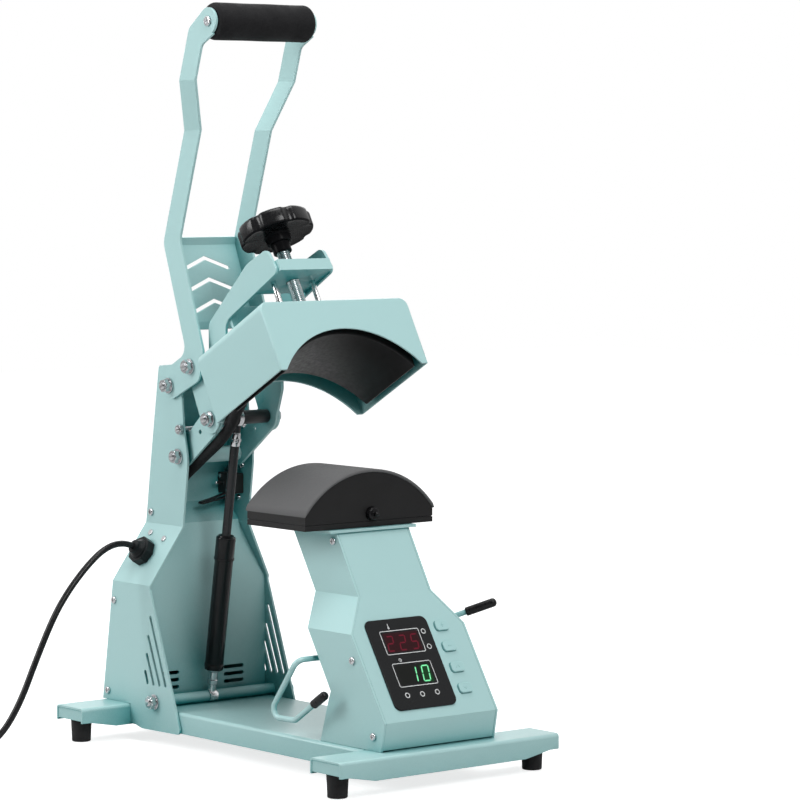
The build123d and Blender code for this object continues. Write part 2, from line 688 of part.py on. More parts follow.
def slope_screws():
    """Low round-headed screws above the gland, which hold the earth wire inside."""
    screws = []
    for at in GLAND_SCREWS:
        head = Pos(0, 0, SLOPE_HEAD_H / 2) * Cylinder(GLAND_SCREW_D / 2, SLOPE_HEAD_H)
        head = fillet(head.edges().group_by(Axis.Z)[-1], SLOPE_HEAD_H * 0.6)
        body = Pos(0, 0, -SCREW_LENGTH / 4) * Cylinder(SCREW_BODY_D / 2, SCREW_LENGTH / 2)
        screws.append(left_slope(at) * (head + body))
    return screws


def make_cord_gland():
    """Octagonal strain relief with a tapered nose round the cord."""
    body = extrude(RegularPolygon(GLAND_AF / math.sqrt(3), 8), GLAND_H)
    nose = Pos(0, 0, GLAND_H + NOSE_H / 2) * Cone(GLAND_AF * 0.42, CORD_D / 2 + 2.6, NOSE_H)
    bore = Pos(0, 0, GLAND_H + NOSE_H / 2) * Cylinder(CORD_D / 2 + 0.05, NOSE_H)
    return lone(left_slope(GLAND_AT) * (body + nose - bore))


def on_gland_axis(height):
    at = left_slope(GLAND_AT).from_local_coords(Vector(0, 0, height))
    return (at.X, at.Y, at.Z)


FLOOR_LINE = CORD_D / 2 + 0.1
CORD_ROUTE = [
    on_gland_axis(GLAND_H),
    on_gland_axis(GLAND_H + 2.45 * NOSE_H),
    (-108.5, REAR - 55.2, 219.0),
    (-127.5, REAR - 55.8, 209.5),
    (-146.5, REAR - 56.5, 190.0),
    (-164.0, REAR - 57.2, 171.0),
    (-184.5, REAR - 58.0, 145.0),
    (-206.0, REAR - 57.0, 102.5),
    (-228.0, REAR - 55.0, 52.0),
    (-252.0, REAR - 52.0, 18.0),
    (-285.0, REAR - 48.0, FLOOR_LINE),
    (-318.0, REAR - 45.0, FLOOR_LINE),
]
COIL_CENTRE = (CORD_ROUTE[-1][0] - 22, CORD_ROUTE[-1][1] + COIL_RADIUS + 1)


def make_power_cord():
    tube, length, radii = round_tube(CORD_ROUTE, CORD_D)
    print("cord radii:", [round(radius, 1) for radius in radii])
    print("cord run:", round(length, 1), "volume ratio:",
          round(tube.volume / (math.pi * CORD_D ** 2 / 4 * length), 4))
    return lone(tube)


def make_power_cord_coil():
    """Outer shape of the neat coil in which the rest of the cord is stored."""
    wide = COIL_TURNS_WIDE * CORD_D + 1
    high = COIL_TURNS_HIGH * CORD_D + 1
    outer = Cylinder(COIL_RADIUS + wide / 2, high) - Cylinder(COIL_RADIUS - wide / 2, high)
    outer = fillet(outer.edges(), CORD_D / 2 - 0.5)
    return lone(Pos(COIL_CENTRE[0], COIL_CENTRE[1], high / 2 + 0.1) * outer)


def make_power_plug():
    """Moulded plug with two blades and an earth pin, at the coil's outer end."""
    long, wide, high = PLUG_SIZE
    start = COIL_CENTRE[0] + math.sqrt(
        (COIL_RADIUS + COIL_TURNS_WIDE * CORD_D / 2) ** 2 - COIL_RADIUS ** 2)
    y = COIL_CENTRE[1] + COIL_RADIUS
    z = high / 2 + 0.1
    body = Pos(start + 8 + long / 2, y, z) * Box(long, wide, high)
    body = fillet(body.edges(), 4)
    relief = Pos(start + 4.5, y, z) * Rot(0, 90, 0) * Cylinder(CORD_D / 2 + 1.5, 9)
    plug = body + relief
    tip = start + 8 + long
    for side in (-1, 1):
        plug = plug + Pos(tip + 8, y + side * 6.35, z + 2.5) * Box(18, 1.6, 6.4)
    plug = plug + Pos(tip + 9, y, z - 5.5) * Rot(0, 90, 0) * Cylinder(2.4, 20)
    return lone(plug)


# --- Post -----------------------------------------------------------------------------
def post_section(inset, y_low, y_high):
    """The post seen from the front, carried through in depth."""
    neck = POST_NECK / 2 - inset
    foot = POST_FOOT / 2 - inset
    right = [(foot, DECK_Z - 30), (foot, POST_FLARE_Z), (neck, POST_BEND_Z), (neck, POST_TOP_Z + 30)]
    left = [(-x, z) for x, z in reversed(right)]
    return front_slab(make_face(Polyline(*right, *left, close=True)), y_low, y_high)


def post_side_view(edge_front, edge_rear):
    return make_face(Polyline(*edge_front, *reversed(edge_rear), close=True))


def shifted(points, dy):
    return [(y + dy, z) for y, z in points]


def make_post_shell():
    """Sides and back of the post in one folded sheet, open at the front."""
    low = [PANEL_FOOT[0], DECK_Z + SEAM]
    front = FRONT_EDGE[:-1] + [tuple(low)]
    half = POST_FOOT / 2 + 5
    outer = side_slab(post_side_view(front, REAR_EDGE), -half, half)
    outer = outer & post_section(0, FRONT - 10, 0)
    rear_inside = shifted(REAR_EDGE, -SHEET * 1.15)
    ahead = shifted(front, -60)
    ahead = [(ahead[0][0], POST_TOP_Z + 5)] + ahead + [(ahead[-1][0], DECK_Z - 5)]
    behind = [(rear_inside[0][0] + 3, POST_TOP_Z + 5)] + rear_inside
    behind = behind + [(rear_inside[-1][0] + 2, DECK_Z - 5)]
    room = side_slab(post_side_view(ahead, behind), -half, half)
    room = room & post_section(SHEET, FRONT - 80, 0)
    shell = outer - room
    for ear in bail_ears():
        shell = shell + (ear - room)
    for at in POST_SCREWS:
        shell = shell - rod_x(at, SCREW_BODY_D + 2 * BOLT_FIT, -half, half)
    return lone(shell)


def panel_plane():
    """On the outer face of the inclined panel, x across, y up the slope."""
    (y1, z1), (y2, z2) = PANEL_BEND, PANEL_CHIN
    length = math.hypot(y2 - y1, z2 - z1)
    return Plane(origin=(0, y1, z1), x_dir=(1, 0, 0),
                 z_dir=(0, -(z1 - z2) / length, (y1 - y2) / length))


def button_spots():
    return [(BUTTON_X, -(BUTTON_FIRST + i * BUTTON_PITCH)) for i in range(4)]


def make_post_front_panel():
    """Front cover, bent twice, with the display's opening and four button holes."""
    line = FRONT_EDGE
    half = POST_FOOT / 2
    panel = side_slab(folded(line, SHEET), -half, half) & post_section(SHEET + SEAM, FRONT, 0)
    x, down = GLASS_CENTRE
    window = Pos(x, -down, 0) * Box(GLASS_SIZE[0] - 14, GLASS_SIZE[1] - 14, 3 * SHEET)
    panel = panel - panel_plane() * window
    for spot in button_spots():
        hole = extrude(RectangleRounded(BUTTON_SIZE[0] + 2 * GAP, BUTTON_SIZE[1] + 2 * GAP,
                                        BUTTON_ROUND + GAP), 3 * SHEET, both=True)
        panel = panel - panel_plane() * (Pos(*spot, 0) * hole)
    behind = [(y + 3 * EAR, z) for y, z in line]
    within = side_slab(make_face(Polyline(*line, *reversed(behind), close=True)), -90, 90)
    for at in POST_SCREWS:
        face = (POST_FOOT if at[1] < POST_FLARE_Z else POST_NECK) / 2 - SHEET - SEAM
        ear = screw_ear(at, face, -1) & within
        panel = panel + ear + mirrored(ear)
    return lone(panel)


def make_post_top_plate():
    """Rail that the lower platen slides onto."""
    y_front = POST_TOP_Y - 3.0
    y_rear = REAR_EDGE[0][0] + 2.0
    plate = Pos(0, (y_front + y_rear) / 2, POST_TOP_Z + 0.1 + (RAIL_T / 2))
    plate = plate * Box(TOP_PLATE_WIDTH, y_rear - y_front, RAIL_T)
    return lone(fillet(plate.edges().filter_by(Axis.Z), 3))


def make_display_window():
    """Black glass over the two read-outs, on the face of the panel."""
    glass = extrude(RectangleRounded(GLASS_SIZE[0], GLASS_SIZE[1], GLASS_ROUND), GLASS_T)
    glass = fillet(glass.edges().group_by(Axis.Z)[-1], 0.5)
    return lone(panel_plane() * (Pos(GLASS_CENTRE[0], -GLASS_CENTRE[1], 0) * glass))


def make_control_board():
    """Circuit board behind the panel with its display block and four pillars."""
    wide, high, thick = BOARD_SIZE
    board = Pos(BOARD_CENTRE[0], -BOARD_CENTRE[1], -BOARD_DEPTH) * Box(wide, high, thick)
    block_high = BOARD_DEPTH - thick / 2
    block = Box(GLASS_SIZE[0] - 20, GLASS_SIZE[1] - 26, block_high)
    board = board + Pos(GLASS_CENTRE[0], -GLASS_CENTRE[1], -block_high / 2) * block
    for dx in (-1, 1):
        for dy in (-1, 1):
            x = BOARD_CENTRE[0] + dx * (wide / 2 - 5)
            y = -BOARD_CENTRE[1] + dy * (high / 2 - 4)
            pillar = Pos(x, y, -(BOARD_DEPTH + SHEET) / 2) * Cylinder(2.5, BOARD_DEPTH - SHEET)
            board = board + pillar
    return lone(panel_plane() * board)


def make_button(spot):
    """Rounded key with a collar behind the panel and a stem towards the board."""
    wide, high = BUTTON_SIZE
    cap = extrude(RectangleRounded(wide, high, BUTTON_ROUND), BUTTON_OUT + SHEET + 0.5)
    cap = fillet(cap.edges().group_by(Axis.Z)[-1], 0.8)
    cap = Pos(0, 0, -SHEET - 0.5) * cap
    collar = Pos(0, 0, -SHEET - GAP - 0.6) * Box(wide + 3, high + 3, 1.2)
    stem_long = BOARD_DEPTH - 0.8 - SHEET - BUTTON_TRAVEL - GAP - 1.2
    stem = Pos(0, 0, -SHEET - GAP - 1.2 - stem_long / 2 + 0.1) * Cylinder(2.5, stem_long)
    key = cap + collar + stem
    return lone(panel_plane() * (Pos(*spot, 0) * key))


# --- Handle ---------------------------------------------------------------------------
def handle_side_view():
    """Foot with its two bolts, leaning leg, bend, upper leg and rounded end."""
    y, z = GRIP_AXIS
    leg = outline([*ARM_FRONT, (y - 8, z - 14), (y + 9, z + 12), *ARM_REAR])
    return leg + Pos(y + 1, z) * Circle(ARM_END_RADIUS)


def make_handle_arm():
    low = HANDLE_PIVOT[1] - 4 * LINK_RADIUS
    high = GRIP_AXIS[1] + 4 * ARM_END_RADIUS
    outer = folded([(HANDLE_INNER, low), (HANDLE_INNER, JOG_LOW_Z), (HANDLE_WIDE, JOG_TOP_Z),
                    (HANDLE_WIDE, high)], -PLATE)
    sheet = front_slab(outer, 0, REAR)
    arm = sheet & side_slab(handle_side_view(), 0, HANDLE_WIDE + 10)
    for at in (HANDLE_PIVOT, TOGGLE):
        arm = arm - rod_x(at, PIVOT_D + 2 * BOLT_FIT, 0, 100)
    arm = arm - rod_x(GRIP_AXIS, 6 + 2 * BOLT_FIT, 0, 100)
    return lone(arm)


def make_handle_web():
    """Sheet between the arms along their rear edges, with three chevron slots."""
    half = HANDLE_INNER - SEAM
    web = side_slab(folded(WEB_LINE, SHEET), -half, half)
    for row in range(3):
        z = CHEVRON_TOP_Z - row * CHEVRON_PITCH
        peak = (0, z)
        for side in (-1, 1):
            end = (side * CHEVRON_REACH, z - CHEVRON_RISE)
            slot = make_hull((Pos(*peak) * Circle(CHEVRON / 2)
                              + Pos(*end) * Circle(CHEVRON / 2)).edges())
            web = web - front_slab(slot, 0, REAR)
    return lone(web)


def make_grip_tube():
    end = HANDLE_WIDE
    tube = ring_x(GRIP_AXIS, TUBE_D, TUBE_D - 2 * TUBE_WALL, -end, end)
    plug = ring_x(GRIP_AXIS, TUBE_D - 2 * TUBE_WALL, 5.0, end - 12, end)
    return lone(tube + plug + mirrored(plug))


def make_grip_foam():
    end = HANDLE_WIDE - 0.6
    foam = ring_x(GRIP_AXIS, FOAM_D, TUBE_D + 0.1, -end, end)
    rims = foam.edges().filter_by(GeomType.CIRCLE).sort_by(lambda edge: edge.radius)[-2:]
    return lone(fillet(rims, 6))


def make_grip_screws():
    """Cross-head screws that hold the grip tube between the arms."""
    face = HANDLE_WIDE + PLATE
    screws = []
    for side in (-1, 1):
        head = rod_x(GRIP_AXIS, 11.0, face, face + 2.6)
        head = fillet(head.edges().group_by(Axis.X)[-1], 1.4)
        body = rod_x(GRIP_AXIS, 4.9, face - 14, face)
        cross = side_slab(Pos(*GRIP_AXIS) * (Rectangle(6, 1.2) + Rectangle(1.2, 6)),
                          face + 1.2, face + 4)
        screw = head + body - cross
        screws.append(screw if side > 0 else mirrored(screw))
    return group(*screws)


def make_toggle_bolts():
    """One short bolt each side, with a spacer and a nut outside the handle arm."""
    inner = LINK_INNER - GAP / 2
    outer = HANDLE_OUTER
    tip = outer + WASHER_T + NUT_H + 2
    bolt = rod_x(TOGGLE, PIVOT_D, inner, tip) + rod_x(TOGGLE, 6.0, inner, inner + 1)
    shoulder = rod_x(TOGGLE, NUT_AF, LINK_INNER + PLATE + GAP, HANDLE_INNER)
    bolt = bolt + shoulder
    bore = PIVOT_D + 2 * BOLT_FIT
    washer = ring_x(TOGGLE, WASHER_D, bore, outer, outer + WASHER_T)
    nut = hex_x(TOGGLE, NUT_AF, outer + WASHER_T, outer + WASHER_T + NUT_H)
    nut = nut - rod_x(TOGGLE, bore, outer, tip)
    return group(bolt, washer, nut, mirrored(bolt), mirrored(washer), mirrored(nut))


# --- Toggle links ---------------------------------------------------------------------
def make_toggle_links():
    face = lever(TOGGLE, LINK_RADIUS, SPRING_TOP, LINK_RADIUS)
    link = side_slab(face, LINK_INNER, LINK_INNER + PLATE)
    link = link - rod_x(SPRING_TOP, PIVOT_D + 2 * FIT, 0, 100)
    link = link - rod_x(TOGGLE, PIVOT_D + 2 * TOGGLE_PLAY, 0, 100)
    return group(link, mirrored(link))


# --- Head arm -------------------------------------------------------------------------
def head_point(t, n):
    """(y, z) of a place given along and away from the housing."""
    at = HEAD.from_local_coords(Vector(0, t, n))
    return (at.Y, at.Z)


def arm_side_view():
    """Ear over the head, elbow, neck to the toggle bolt, and lever to the arm pivot."""
    ear = [head_point(26, NUT_PLATE_N - 1), head_point(31, EAR_N - 2), head_point(70, EAR_N),
           head_point(86, EAR_N - 4)]
    upper = outline([
        (*ear[0], 6), (*ear[1], 9), (*ear[2], 20), ELBOW_REAR,
        (SPRING_TOP[0] + 5, SPRING_TOP[1] + 8), (SPRING_TOP[0] + 12, SPRING_TOP[1]),
        (SPRING_TOP[0] - LINK_RADIUS, SPRING_TOP[1]), *ELBOW_FRONT,
    ])
    return upper + lever(SPRING_TOP, 16, ARM_PIVOT, 13)


def make_arm_plate():
    plate = side_slab(arm_side_view(), ARM_INNER, ARM_HALF)
    plate = plate - rod_x(ARM_PIVOT, PIVOT_D + 2 * FIT, 0, 100)
    plate = plate - rod_x(SPRING_TOP, PIVOT_D + 2 * BOLT_FIT, 0, 100)
    hole = (SPRING_TOP[0] + 0.42 * (ARM_PIVOT[0] - SPRING_TOP[0]),
            SPRING_TOP[1] + 0.42 * (ARM_PIVOT[1] - SPRING_TOP[1]) + 3)
    plate = plate - rod_x(hole, 5, 0, 100)
    return lone(plate)


def make_arm_web():
    """Plate that joins both arm plates at the elbow."""
    spine = HEAD * (Pos(0, 128, 118) * Box(2 * ARM_INNER, ARM_PLATE, 34))
    return lone(spine)


def make_arm_spacers():
    """Tube on the arm pivot between the plates, and a sleeve each side of the gas spring."""
    inner = EYE_T / 2 + GAP
    tube = ring_x(ARM_PIVOT, ARM_TUBE_D, PIVOT_D + 2 * FIT, -ARM_INNER, ARM_INNER)
    bore = PIVOT_D + 2 * BOLT_FIT
    right = ring_x(SPRING_TOP, SLEEVE_D, bore, SPRING_X + inner, ARM_INNER)
    left = ring_x(SPRING_TOP, SLEEVE_D, bore, -ARM_INNER, SPRING_X - inner)
    return group(tube, right, left)


def make_nut_plate():
    """Thick cross plate with the screw's thread and the guide bores."""
    t_mid = (NUT_PLATE_START + NUT_PLATE_END) / 2
    n_mid = NUT_PLATE_N + NUT_PLATE_T / 2
    plate = Pos(0, t_mid, n_mid) * Box(2 * ARM_INNER, NUT_PLATE_END - NUT_PLATE_START, NUT_PLATE_T)
    plate = plate - Pos(0, SCREW_T, n_mid) * Cylinder(SCREW_D / 2 + FIT, 2 * NUT_PLATE_T)
    for side in (-1, 1):
        bore = Cylinder(ROD_D / 2 + FIT, 2 * NUT_PLATE_T)
        plate = plate - Pos(side * ROD_X, SCREW_T, n_mid) * bore
    return lone(HEAD * plate)


def make_arm_pin_bolt():
    """Bolt through both links, both arm plates and the top of the gas spring."""
    return bolt_pair(SPRING_TOP, LINK_INNER + PLATE + GAP)


def make_heater_cable():
    """Sleeved heater lead along the arm, from the pivot to the back of the head."""
    x = HEATER_CABLE_X
    back = head_point(HOUSING_LENGTH + HEATER_CABLE_GAP, HEATER_CABLE_N)
    near = head_point(HOUSING_LENGTH + 16, HEATER_CABLE_N)
    route = [(x, *point) for point in (*HEATER_ROUTE, near, back)]
    tube, length, radii = round_tube(route, HEATER_CABLE_D)
    print("heater cable radii:", [round(radius, 1) for radius in radii], round(length, 1))
    return lone(tube)


# --- Head -----------------------------------------------------------------------------
def make_housing_shell():
    """Box open below; its front and rear walls are arched to pass over a cap."""
    wide, long, high = HOUSING_WIDTH, HOUSING_LENGTH, HOUSING_HEIGHT
    outer = Pos(0, long / 2, high / 2) * Box(wide, long, high)
    roof = outer.edges().group_by(Axis.Z)[-1]
    outer = fillet(roof.filter_by(Axis.Y), HOUSING_ROUND)
    upright = outer.edges().filter_by(Axis.Z)
    outer = fillet(upright, HOUSING_EDGE)
    inner = Pos(0, long / 2, (high - HOUSING_WALL) / 2 - 1)
    inner = inner * Box(wide - 2 * HOUSING_WALL, long - 2 * HOUSING_WALL, high - HOUSING_WALL + 2)
    inner = fillet(inner.edges().group_by(Axis.Z)[-1].filter_by(Axis.Y), HOUSING_ROUND - HOUSING_WALL)
    arch = Pos(0, long / 2, -ARCH_DROP) * Rot(90, 0, 0) * Cylinder(ARCH_RADIUS, long + 10)
    shell = outer - inner - arch
    return lone(HEAD * shell)


def platen_block(thick, length, width, start):
    """Arched block over the pad, in the head's frame."""
    disc = Rot(90, 0, 0) * Cylinder(PRESS_RADIUS + thick, length)
    core = Rot(90, 0, 0) * Cylinder(PRESS_RADIUS, length + 2)
    ring = Pos(0, start + length / 2, -ARCH_DROP) * (disc - core)
    keep = Pos(0, start + length / 2, 1.5 + HOUSING_HEIGHT / 2) * Box(width, length, HOUSING_HEIGHT)
    return ring & keep


def stud_spots():
    ends = (PLATEN_START + STUD_MARGIN, PLATEN_START + PLATEN_LENGTH - STUD_MARGIN)
    return [(x, t) for x in (-STUD_X, STUD_X) for t in ends]


def make_heating_platen():
    """Cast block with its curved face; lugs carry the studs."""
    block = platen_block(PLATEN_THICK, PLATEN_LENGTH, PLATEN_WIDTH, PLATEN_START)
    return lone(HEAD * block)


def over_platen(extra):
    long = HOUSING_LENGTH + 20
    disc = Rot(90, 0, 0) * Cylinder(PRESS_RADIUS + PLATEN_THICK + extra, long)
    return Pos(0, HOUSING_LENGTH / 2, -ARCH_DROP) * disc


def make_platen_studs():
    """Studs from the heating platen to the roof of the housing."""
    roof = HOUSING_HEIGHT - HOUSING_WALL
    studs = []
    for x, t in stud_spots():
        stud = Pos(x, t, roof / 2) * Cylinder(STUD_D / 2, roof)
        studs.append(HEAD * (stud - over_platen(0.02)))
    return group(*studs)


def make_insulation_pad():
    """Mineral wool between the heating platen and the roof."""
    roof = HOUSING_HEIGHT - HOUSING_WALL - GAP
    block = Pos(0, PLATEN_START + PLATEN_LENGTH / 2, roof / 2)
    block = block * Box(INSULATION_WIDTH, PLATEN_LENGTH - 6, roof)
    block = block - over_platen(GAP)
    for x, t in stud_spots():
        block = block - Pos(x, t, roof / 2) * Cylinder(STUD_D / 2 + GAP, roof + 2)
    return lone(HEAD * block)


def make_thrust_plate():
    """Plate on the roof with the cup that the pressure screw turns in."""
    plate = Pos(0, SCREW_T, HOUSING_HEIGHT + THRUST_T / 2) * Box(84, 50, THRUST_T)
    cup = Pos(0, SCREW_T, HOUSING_HEIGHT + THRUST_T + CUP_H / 2) * Cylinder(CUP_D / 2, CUP_H)
    bore = Pos(0, SCREW_T, HOUSING_HEIGHT + THRUST_T + CUP_H / 2 + 1)
    bore = bore * Cylinder(SCREW_D / 2 + FIT, CUP_H)
    return lone(HEAD * (plate + cup - bore))


def make_guide_rods():
    base = HOUSING_HEIGHT + THRUST_T
    top = NUT_PLATE_N + NUT_PLATE_T + 1.0
    rods = []
    for side in (-1, 1):
        rod = Pos(side * ROD_X, SCREW_T, (base + top) / 2) * Cylinder(ROD_D / 2, top - base)
        rods.append(HEAD * rod)
    return group(*rods)


# --- Pressure screw -------------------------------------------------------------------
def make_pressure_screw():
    base = HOUSING_HEIGHT + THRUST_T + 1.0
    top = KNOB_N + HUB_H + KNOB_H * 0.5
    screw = Pos(0, SCREW_T, (base + top) / 2) * Cylinder(SCREW_D / 2, top - base)
    return lone(HEAD * screw)


def make_pressure_knob():
    """Lobed hand knob, hollow underneath, on a round hub."""
    disc = Circle(KNOB_D / 2)
    for i in range(LOBES):
        angle = 360 / LOBES * i
        disc = disc + Rot(0, 0, angle) * (Pos(KNOB_D / 2 - LOBE_INSET, 0) * Circle(LOBE_D / 2))
    rim = extrude(disc, KNOB_H)
    rim = fillet(rim.edges().group_by(Axis.Z)[-1], 4)
    hollow = Cylinder(KNOB_D / 2 - KNOB_WALL, 2 * (KNOB_H - KNOB_WEB))
    rim = rim - hollow
    core = Pos(0, 0, (KNOB_H - HUB_H) / 2) * Cylinder(HUB_D / 2, KNOB_H + HUB_H - 4)
    bore = Pos(0, 0, (KNOB_H * 0.5 + 0.2 - HUB_H) / 2)
    bore = bore * Cylinder(SCREW_D / 2 + 0.01, HUB_H + KNOB_H * 0.5 + 0.2 + 0.02)
    knob = Pos(0, SCREW_T, KNOB_N + HUB_H) * (rim + core - bore)
    return lone(HEAD * knob)


# --- Gas spring -----------------------------------------------------------------------
def spring_plane():
    """At the lower pivot, normal along the spring."""
    y1, z1 = SPRING_FOOT
    y2, z2 = SPRING_TOP
    return Plane(origin=(SPRING_X, y1, z1), x_dir=(1, 0, 0), z_dir=(0, y2 - y1, z2 - z1))


def eye(at_length, diameter):
    ring = Rot(0, 90, 0) * Cylinder(diameter / 2, EYE_T)
    return Pos(0, 0, at_length) * ring


def make_gas_cylinder():
    """Cylinder with its lower eye; the rod slides in through the mouth."""
    long = CYL_END - CYL_START
    body = Pos(0, 0, CYL_START + long / 2) * Cylinder(CYL_D / 2, long)
    collar = Pos(0, 0, CYL_END - 12) * Cylinder(CYL_D / 2 + 0.6, 24)
    body = fillet((body + collar).edges().group_by(Axis.Z)[-1], 1.5)
    room = Pos(0, 0, CYL_START + 6 + (long - 18) / 2)
    body = body - room * Cylinder(CYL_D / 2 - CYL_WALL, long - 18)
    mouth = Pos(0, 0, CYL_END) * Cylinder(GAS_ROD_D / 2 + GUIDE_PLAY, 40)
    stem = Pos(0, 0, CYL_START / 2 + 3) * Cylinder(4.5, CYL_START - 6 + 1)
    hole = Rot(0, 90, 0) * Cylinder(PIVOT_D / 2 + FIT, EYE_T + 2)
    body = body - mouth + stem + eye(0, FOOT_EYE_D) - hole
    return lone(spring_plane() * body)


def make_gas_rod():
    """Polished rod with its piston below and its eye above."""
    piston_at = CYL_END - 34
    shaft = Pos(0, 0, (piston_at + SPRING_LENGTH) / 2)
    shaft = shaft * Cylinder(GAS_ROD_D / 2, SPRING_LENGTH - piston_at)
    piston = Pos(0, 0, piston_at) * Cylinder(CYL_D / 2 - CYL_WALL - 1.0, 8)
    hole = Pos(0, 0, SPRING_LENGTH) * Rot(0, 90, 0) * Cylinder(PIVOT_D / 2 + FIT, 2 * EYE_T)
    body = shaft + piston + eye(SPRING_LENGTH, EYE_D) - hole
    return lone(spring_plane() * body)


# --- Lower platen ---------------------------------------------------------------------
def dome(radius, y_low, y_high):
    return rod_y((0, LOWER_CENTRE_Z), radius, y_low, y_high)


def rod_y(at, radius, y_low, y_high):
    return front_slab(Pos(at[0], at[1]) * Circle(radius), y_low, y_high)


def make_lower_platen_base():
    """Arched black block with a stepped side and the lock's bore."""
    y_rear = LOWER_Y + LOWER_DEPTH
    high = PAD_APEX_Z - LOWER_Z
    block = Pos(0, (LOWER_Y + y_rear) / 2, LOWER_Z + high / 2) * Box(LOWER_WIDTH, LOWER_DEPTH, high)
    body = block & dome(PAD_RADIUS - PAD_T, LOWER_Y, y_rear)
    hollow = Pos(0, (LOWER_Y + y_rear) / 2, LOWER_Z + 8)
    hollow = hollow * Box(LOWER_WIDTH - 30, LOWER_DEPTH - 24, 16)
    body = body - hollow
    groove_z = LOWER_Z + 6
    frame = Pos(0, (LOWER_Y + y_rear) / 2, groove_z) * Box(LOWER_WIDTH + 2, LOWER_DEPTH + 2, 0.8)
    core = Pos(0, (LOWER_Y + y_rear) / 2, groove_z) * Box(LOWER_WIDTH - 1.6, LOWER_DEPTH - 1.6, 1)
    body = body - (frame - core)
    bore = rod_y((LOCK_X, LOCK_Z), LOCK_STEM_D / 2 + FIT, LOWER_Y - 1, LOWER_Y + 30)
    recess = rod_y((LOCK_X, LOCK_Z), LOCK_D / 2 + 1, LOWER_Y - 1, LOWER_Y + 2)
    body = body - bore - recess
    for hook in platen_hooks():
        body = body + hook
    return lone(body)


def make_silicone_pad():
    """Curved pad over the block, a little longer and wider."""
    y_rear = LOWER_Y + LOWER_DEPTH
    shell = dome(PAD_RADIUS, LOWER_Y - PAD_LIP, y_rear + PAD_LIP)
    shell = shell - dome(PAD_RADIUS - PAD_T, LOWER_Y - 5, y_rear + 5)
    half = LOWER_WIDTH / 2 + PAD_SIDE
    edge = LOWER_CENTRE_Z + math.sqrt((PAD_RADIUS - PAD_T) ** 2 - half ** 2)
    keep = Pos(0, (LOWER_Y + y_rear) / 2, edge + 50) * Box(2 * half, LOWER_DEPTH + 20, 100)
    return lone(shell & keep)


def platen_hooks():
    """Clips under the block that run on the edges of the top plate."""
    hooks = []
    rail_half = TOP_PLATE_WIDTH / 2
    low = POST_TOP_Z - 2.2 - GAP
    for y in (LOWER_Y + 28, LOWER_Y + LOWER_DEPTH - 28):
        wall = Pos(rail_half + GAP + 2.5, y, (LOWER_Z + low) / 2) * Box(5, 24, LOWER_Z - low)
        lip_high = POST_TOP_Z + 0.1 - GAP - low
        lip = Pos(rail_half - 1.0, y, low + lip_high / 2) * Box(7, 24, lip_high)
        hook = wall + lip
        hooks.extend([hook, mirrored(hook)])
    return hooks


def make_platen_lock_knob():
    """Knurled knob of the lock screw in the front of the block."""
    face = LOWER_Y
    stem = rod_y((LOCK_X, LOCK_Z), LOCK_STEM_D / 2, face - 2, face + 24)
    knob = rod_y((LOCK_X, LOCK_Z), LOCK_D / 2, face - 5.5, face + 1.6)
    knob = fillet(knob.edges().group_by(Axis.Y)[0], 1.2)
    nose = rod_y((LOCK_X, LOCK_Z), 2.6, face - 9, face - 5)
    nose = nose + Pos(LOCK_X, face - 9, LOCK_Z) * Sphere(2.6)
    return lone(stem + knob + nose)


# --- Hold-down bail -------------------------------------------------------------------
def bail_points():
    left = [(-BAIL_HALF, *point) for point in BAIL_LEFT]
    across = [(-BAIL_HALF, *BAIL_AXIS), (BAIL_TURN_X, *BAIL_AXIS)]
    return left + across + BAIL_RIGHT


def make_hold_down_rod():
    """Bent wire bail: cross part behind the post, a crank at each end."""
    points = bail_points()
    path = FilletPolyline(*[Vector(*point) for point in points],
                          radius=[9, 9, 9, 9, 12])
    section = Plane(origin=path @ 0, z_dir=path % 0) * Circle(BAIL_D / 2)
    return lone(sweep(section, path=path))


def end_cap(tip, before, length):
    """Rubber cap over the end of the bail."""
    axis = (Vector(*before) - Vector(*tip)).normalized()
    base = Vector(*tip) - axis * 3
    plane = Plane(origin=base, z_dir=axis)
    cap = extrude(Circle(CAP_D / 2), length)
    cap = fillet(cap.edges().group_by(Axis.Z)[0], CAP_D * 0.4)
    bore = Pos(0, 0, 3) * extrude(Circle(BAIL_D / 2 + 0.05), length)
    return plane * (cap - bore)


def make_hold_down_grips():
    points = bail_points()
    left, right = CAP_LENGTHS
    return group(end_cap(points[0], points[1], left), end_cap(points[-1], points[-2], right))


def bail_ears():
    """Two ears on the back of the post that the bail turns in."""
    y, z = BAIL_AXIS
    clips = []
    for x in (-EAR_X, EAR_X):
        root = (post_rear_at(z), z - 3)
        ear = side_slab(lever((y, z), EAR_RADIUS, root, EAR_RADIUS), x - 4, x + 4)
        ear = ear - rod_x(BAIL_AXIS, BAIL_D + 2 * FIT, x - 5, x + 5)
        clips.append(ear)
    return clips


def post_rear_at(z):
    """Depth of the post's back at a height."""
    for (y1, z1), (y2, z2) in zip(REAR_EDGE, REAR_EDGE[1:]):
        if z2 <= z <= z1:
            return y1 + (z1 - z) / (z1 - z2) * (y2 - y1)
    return REAR_EDGE[-1][0]


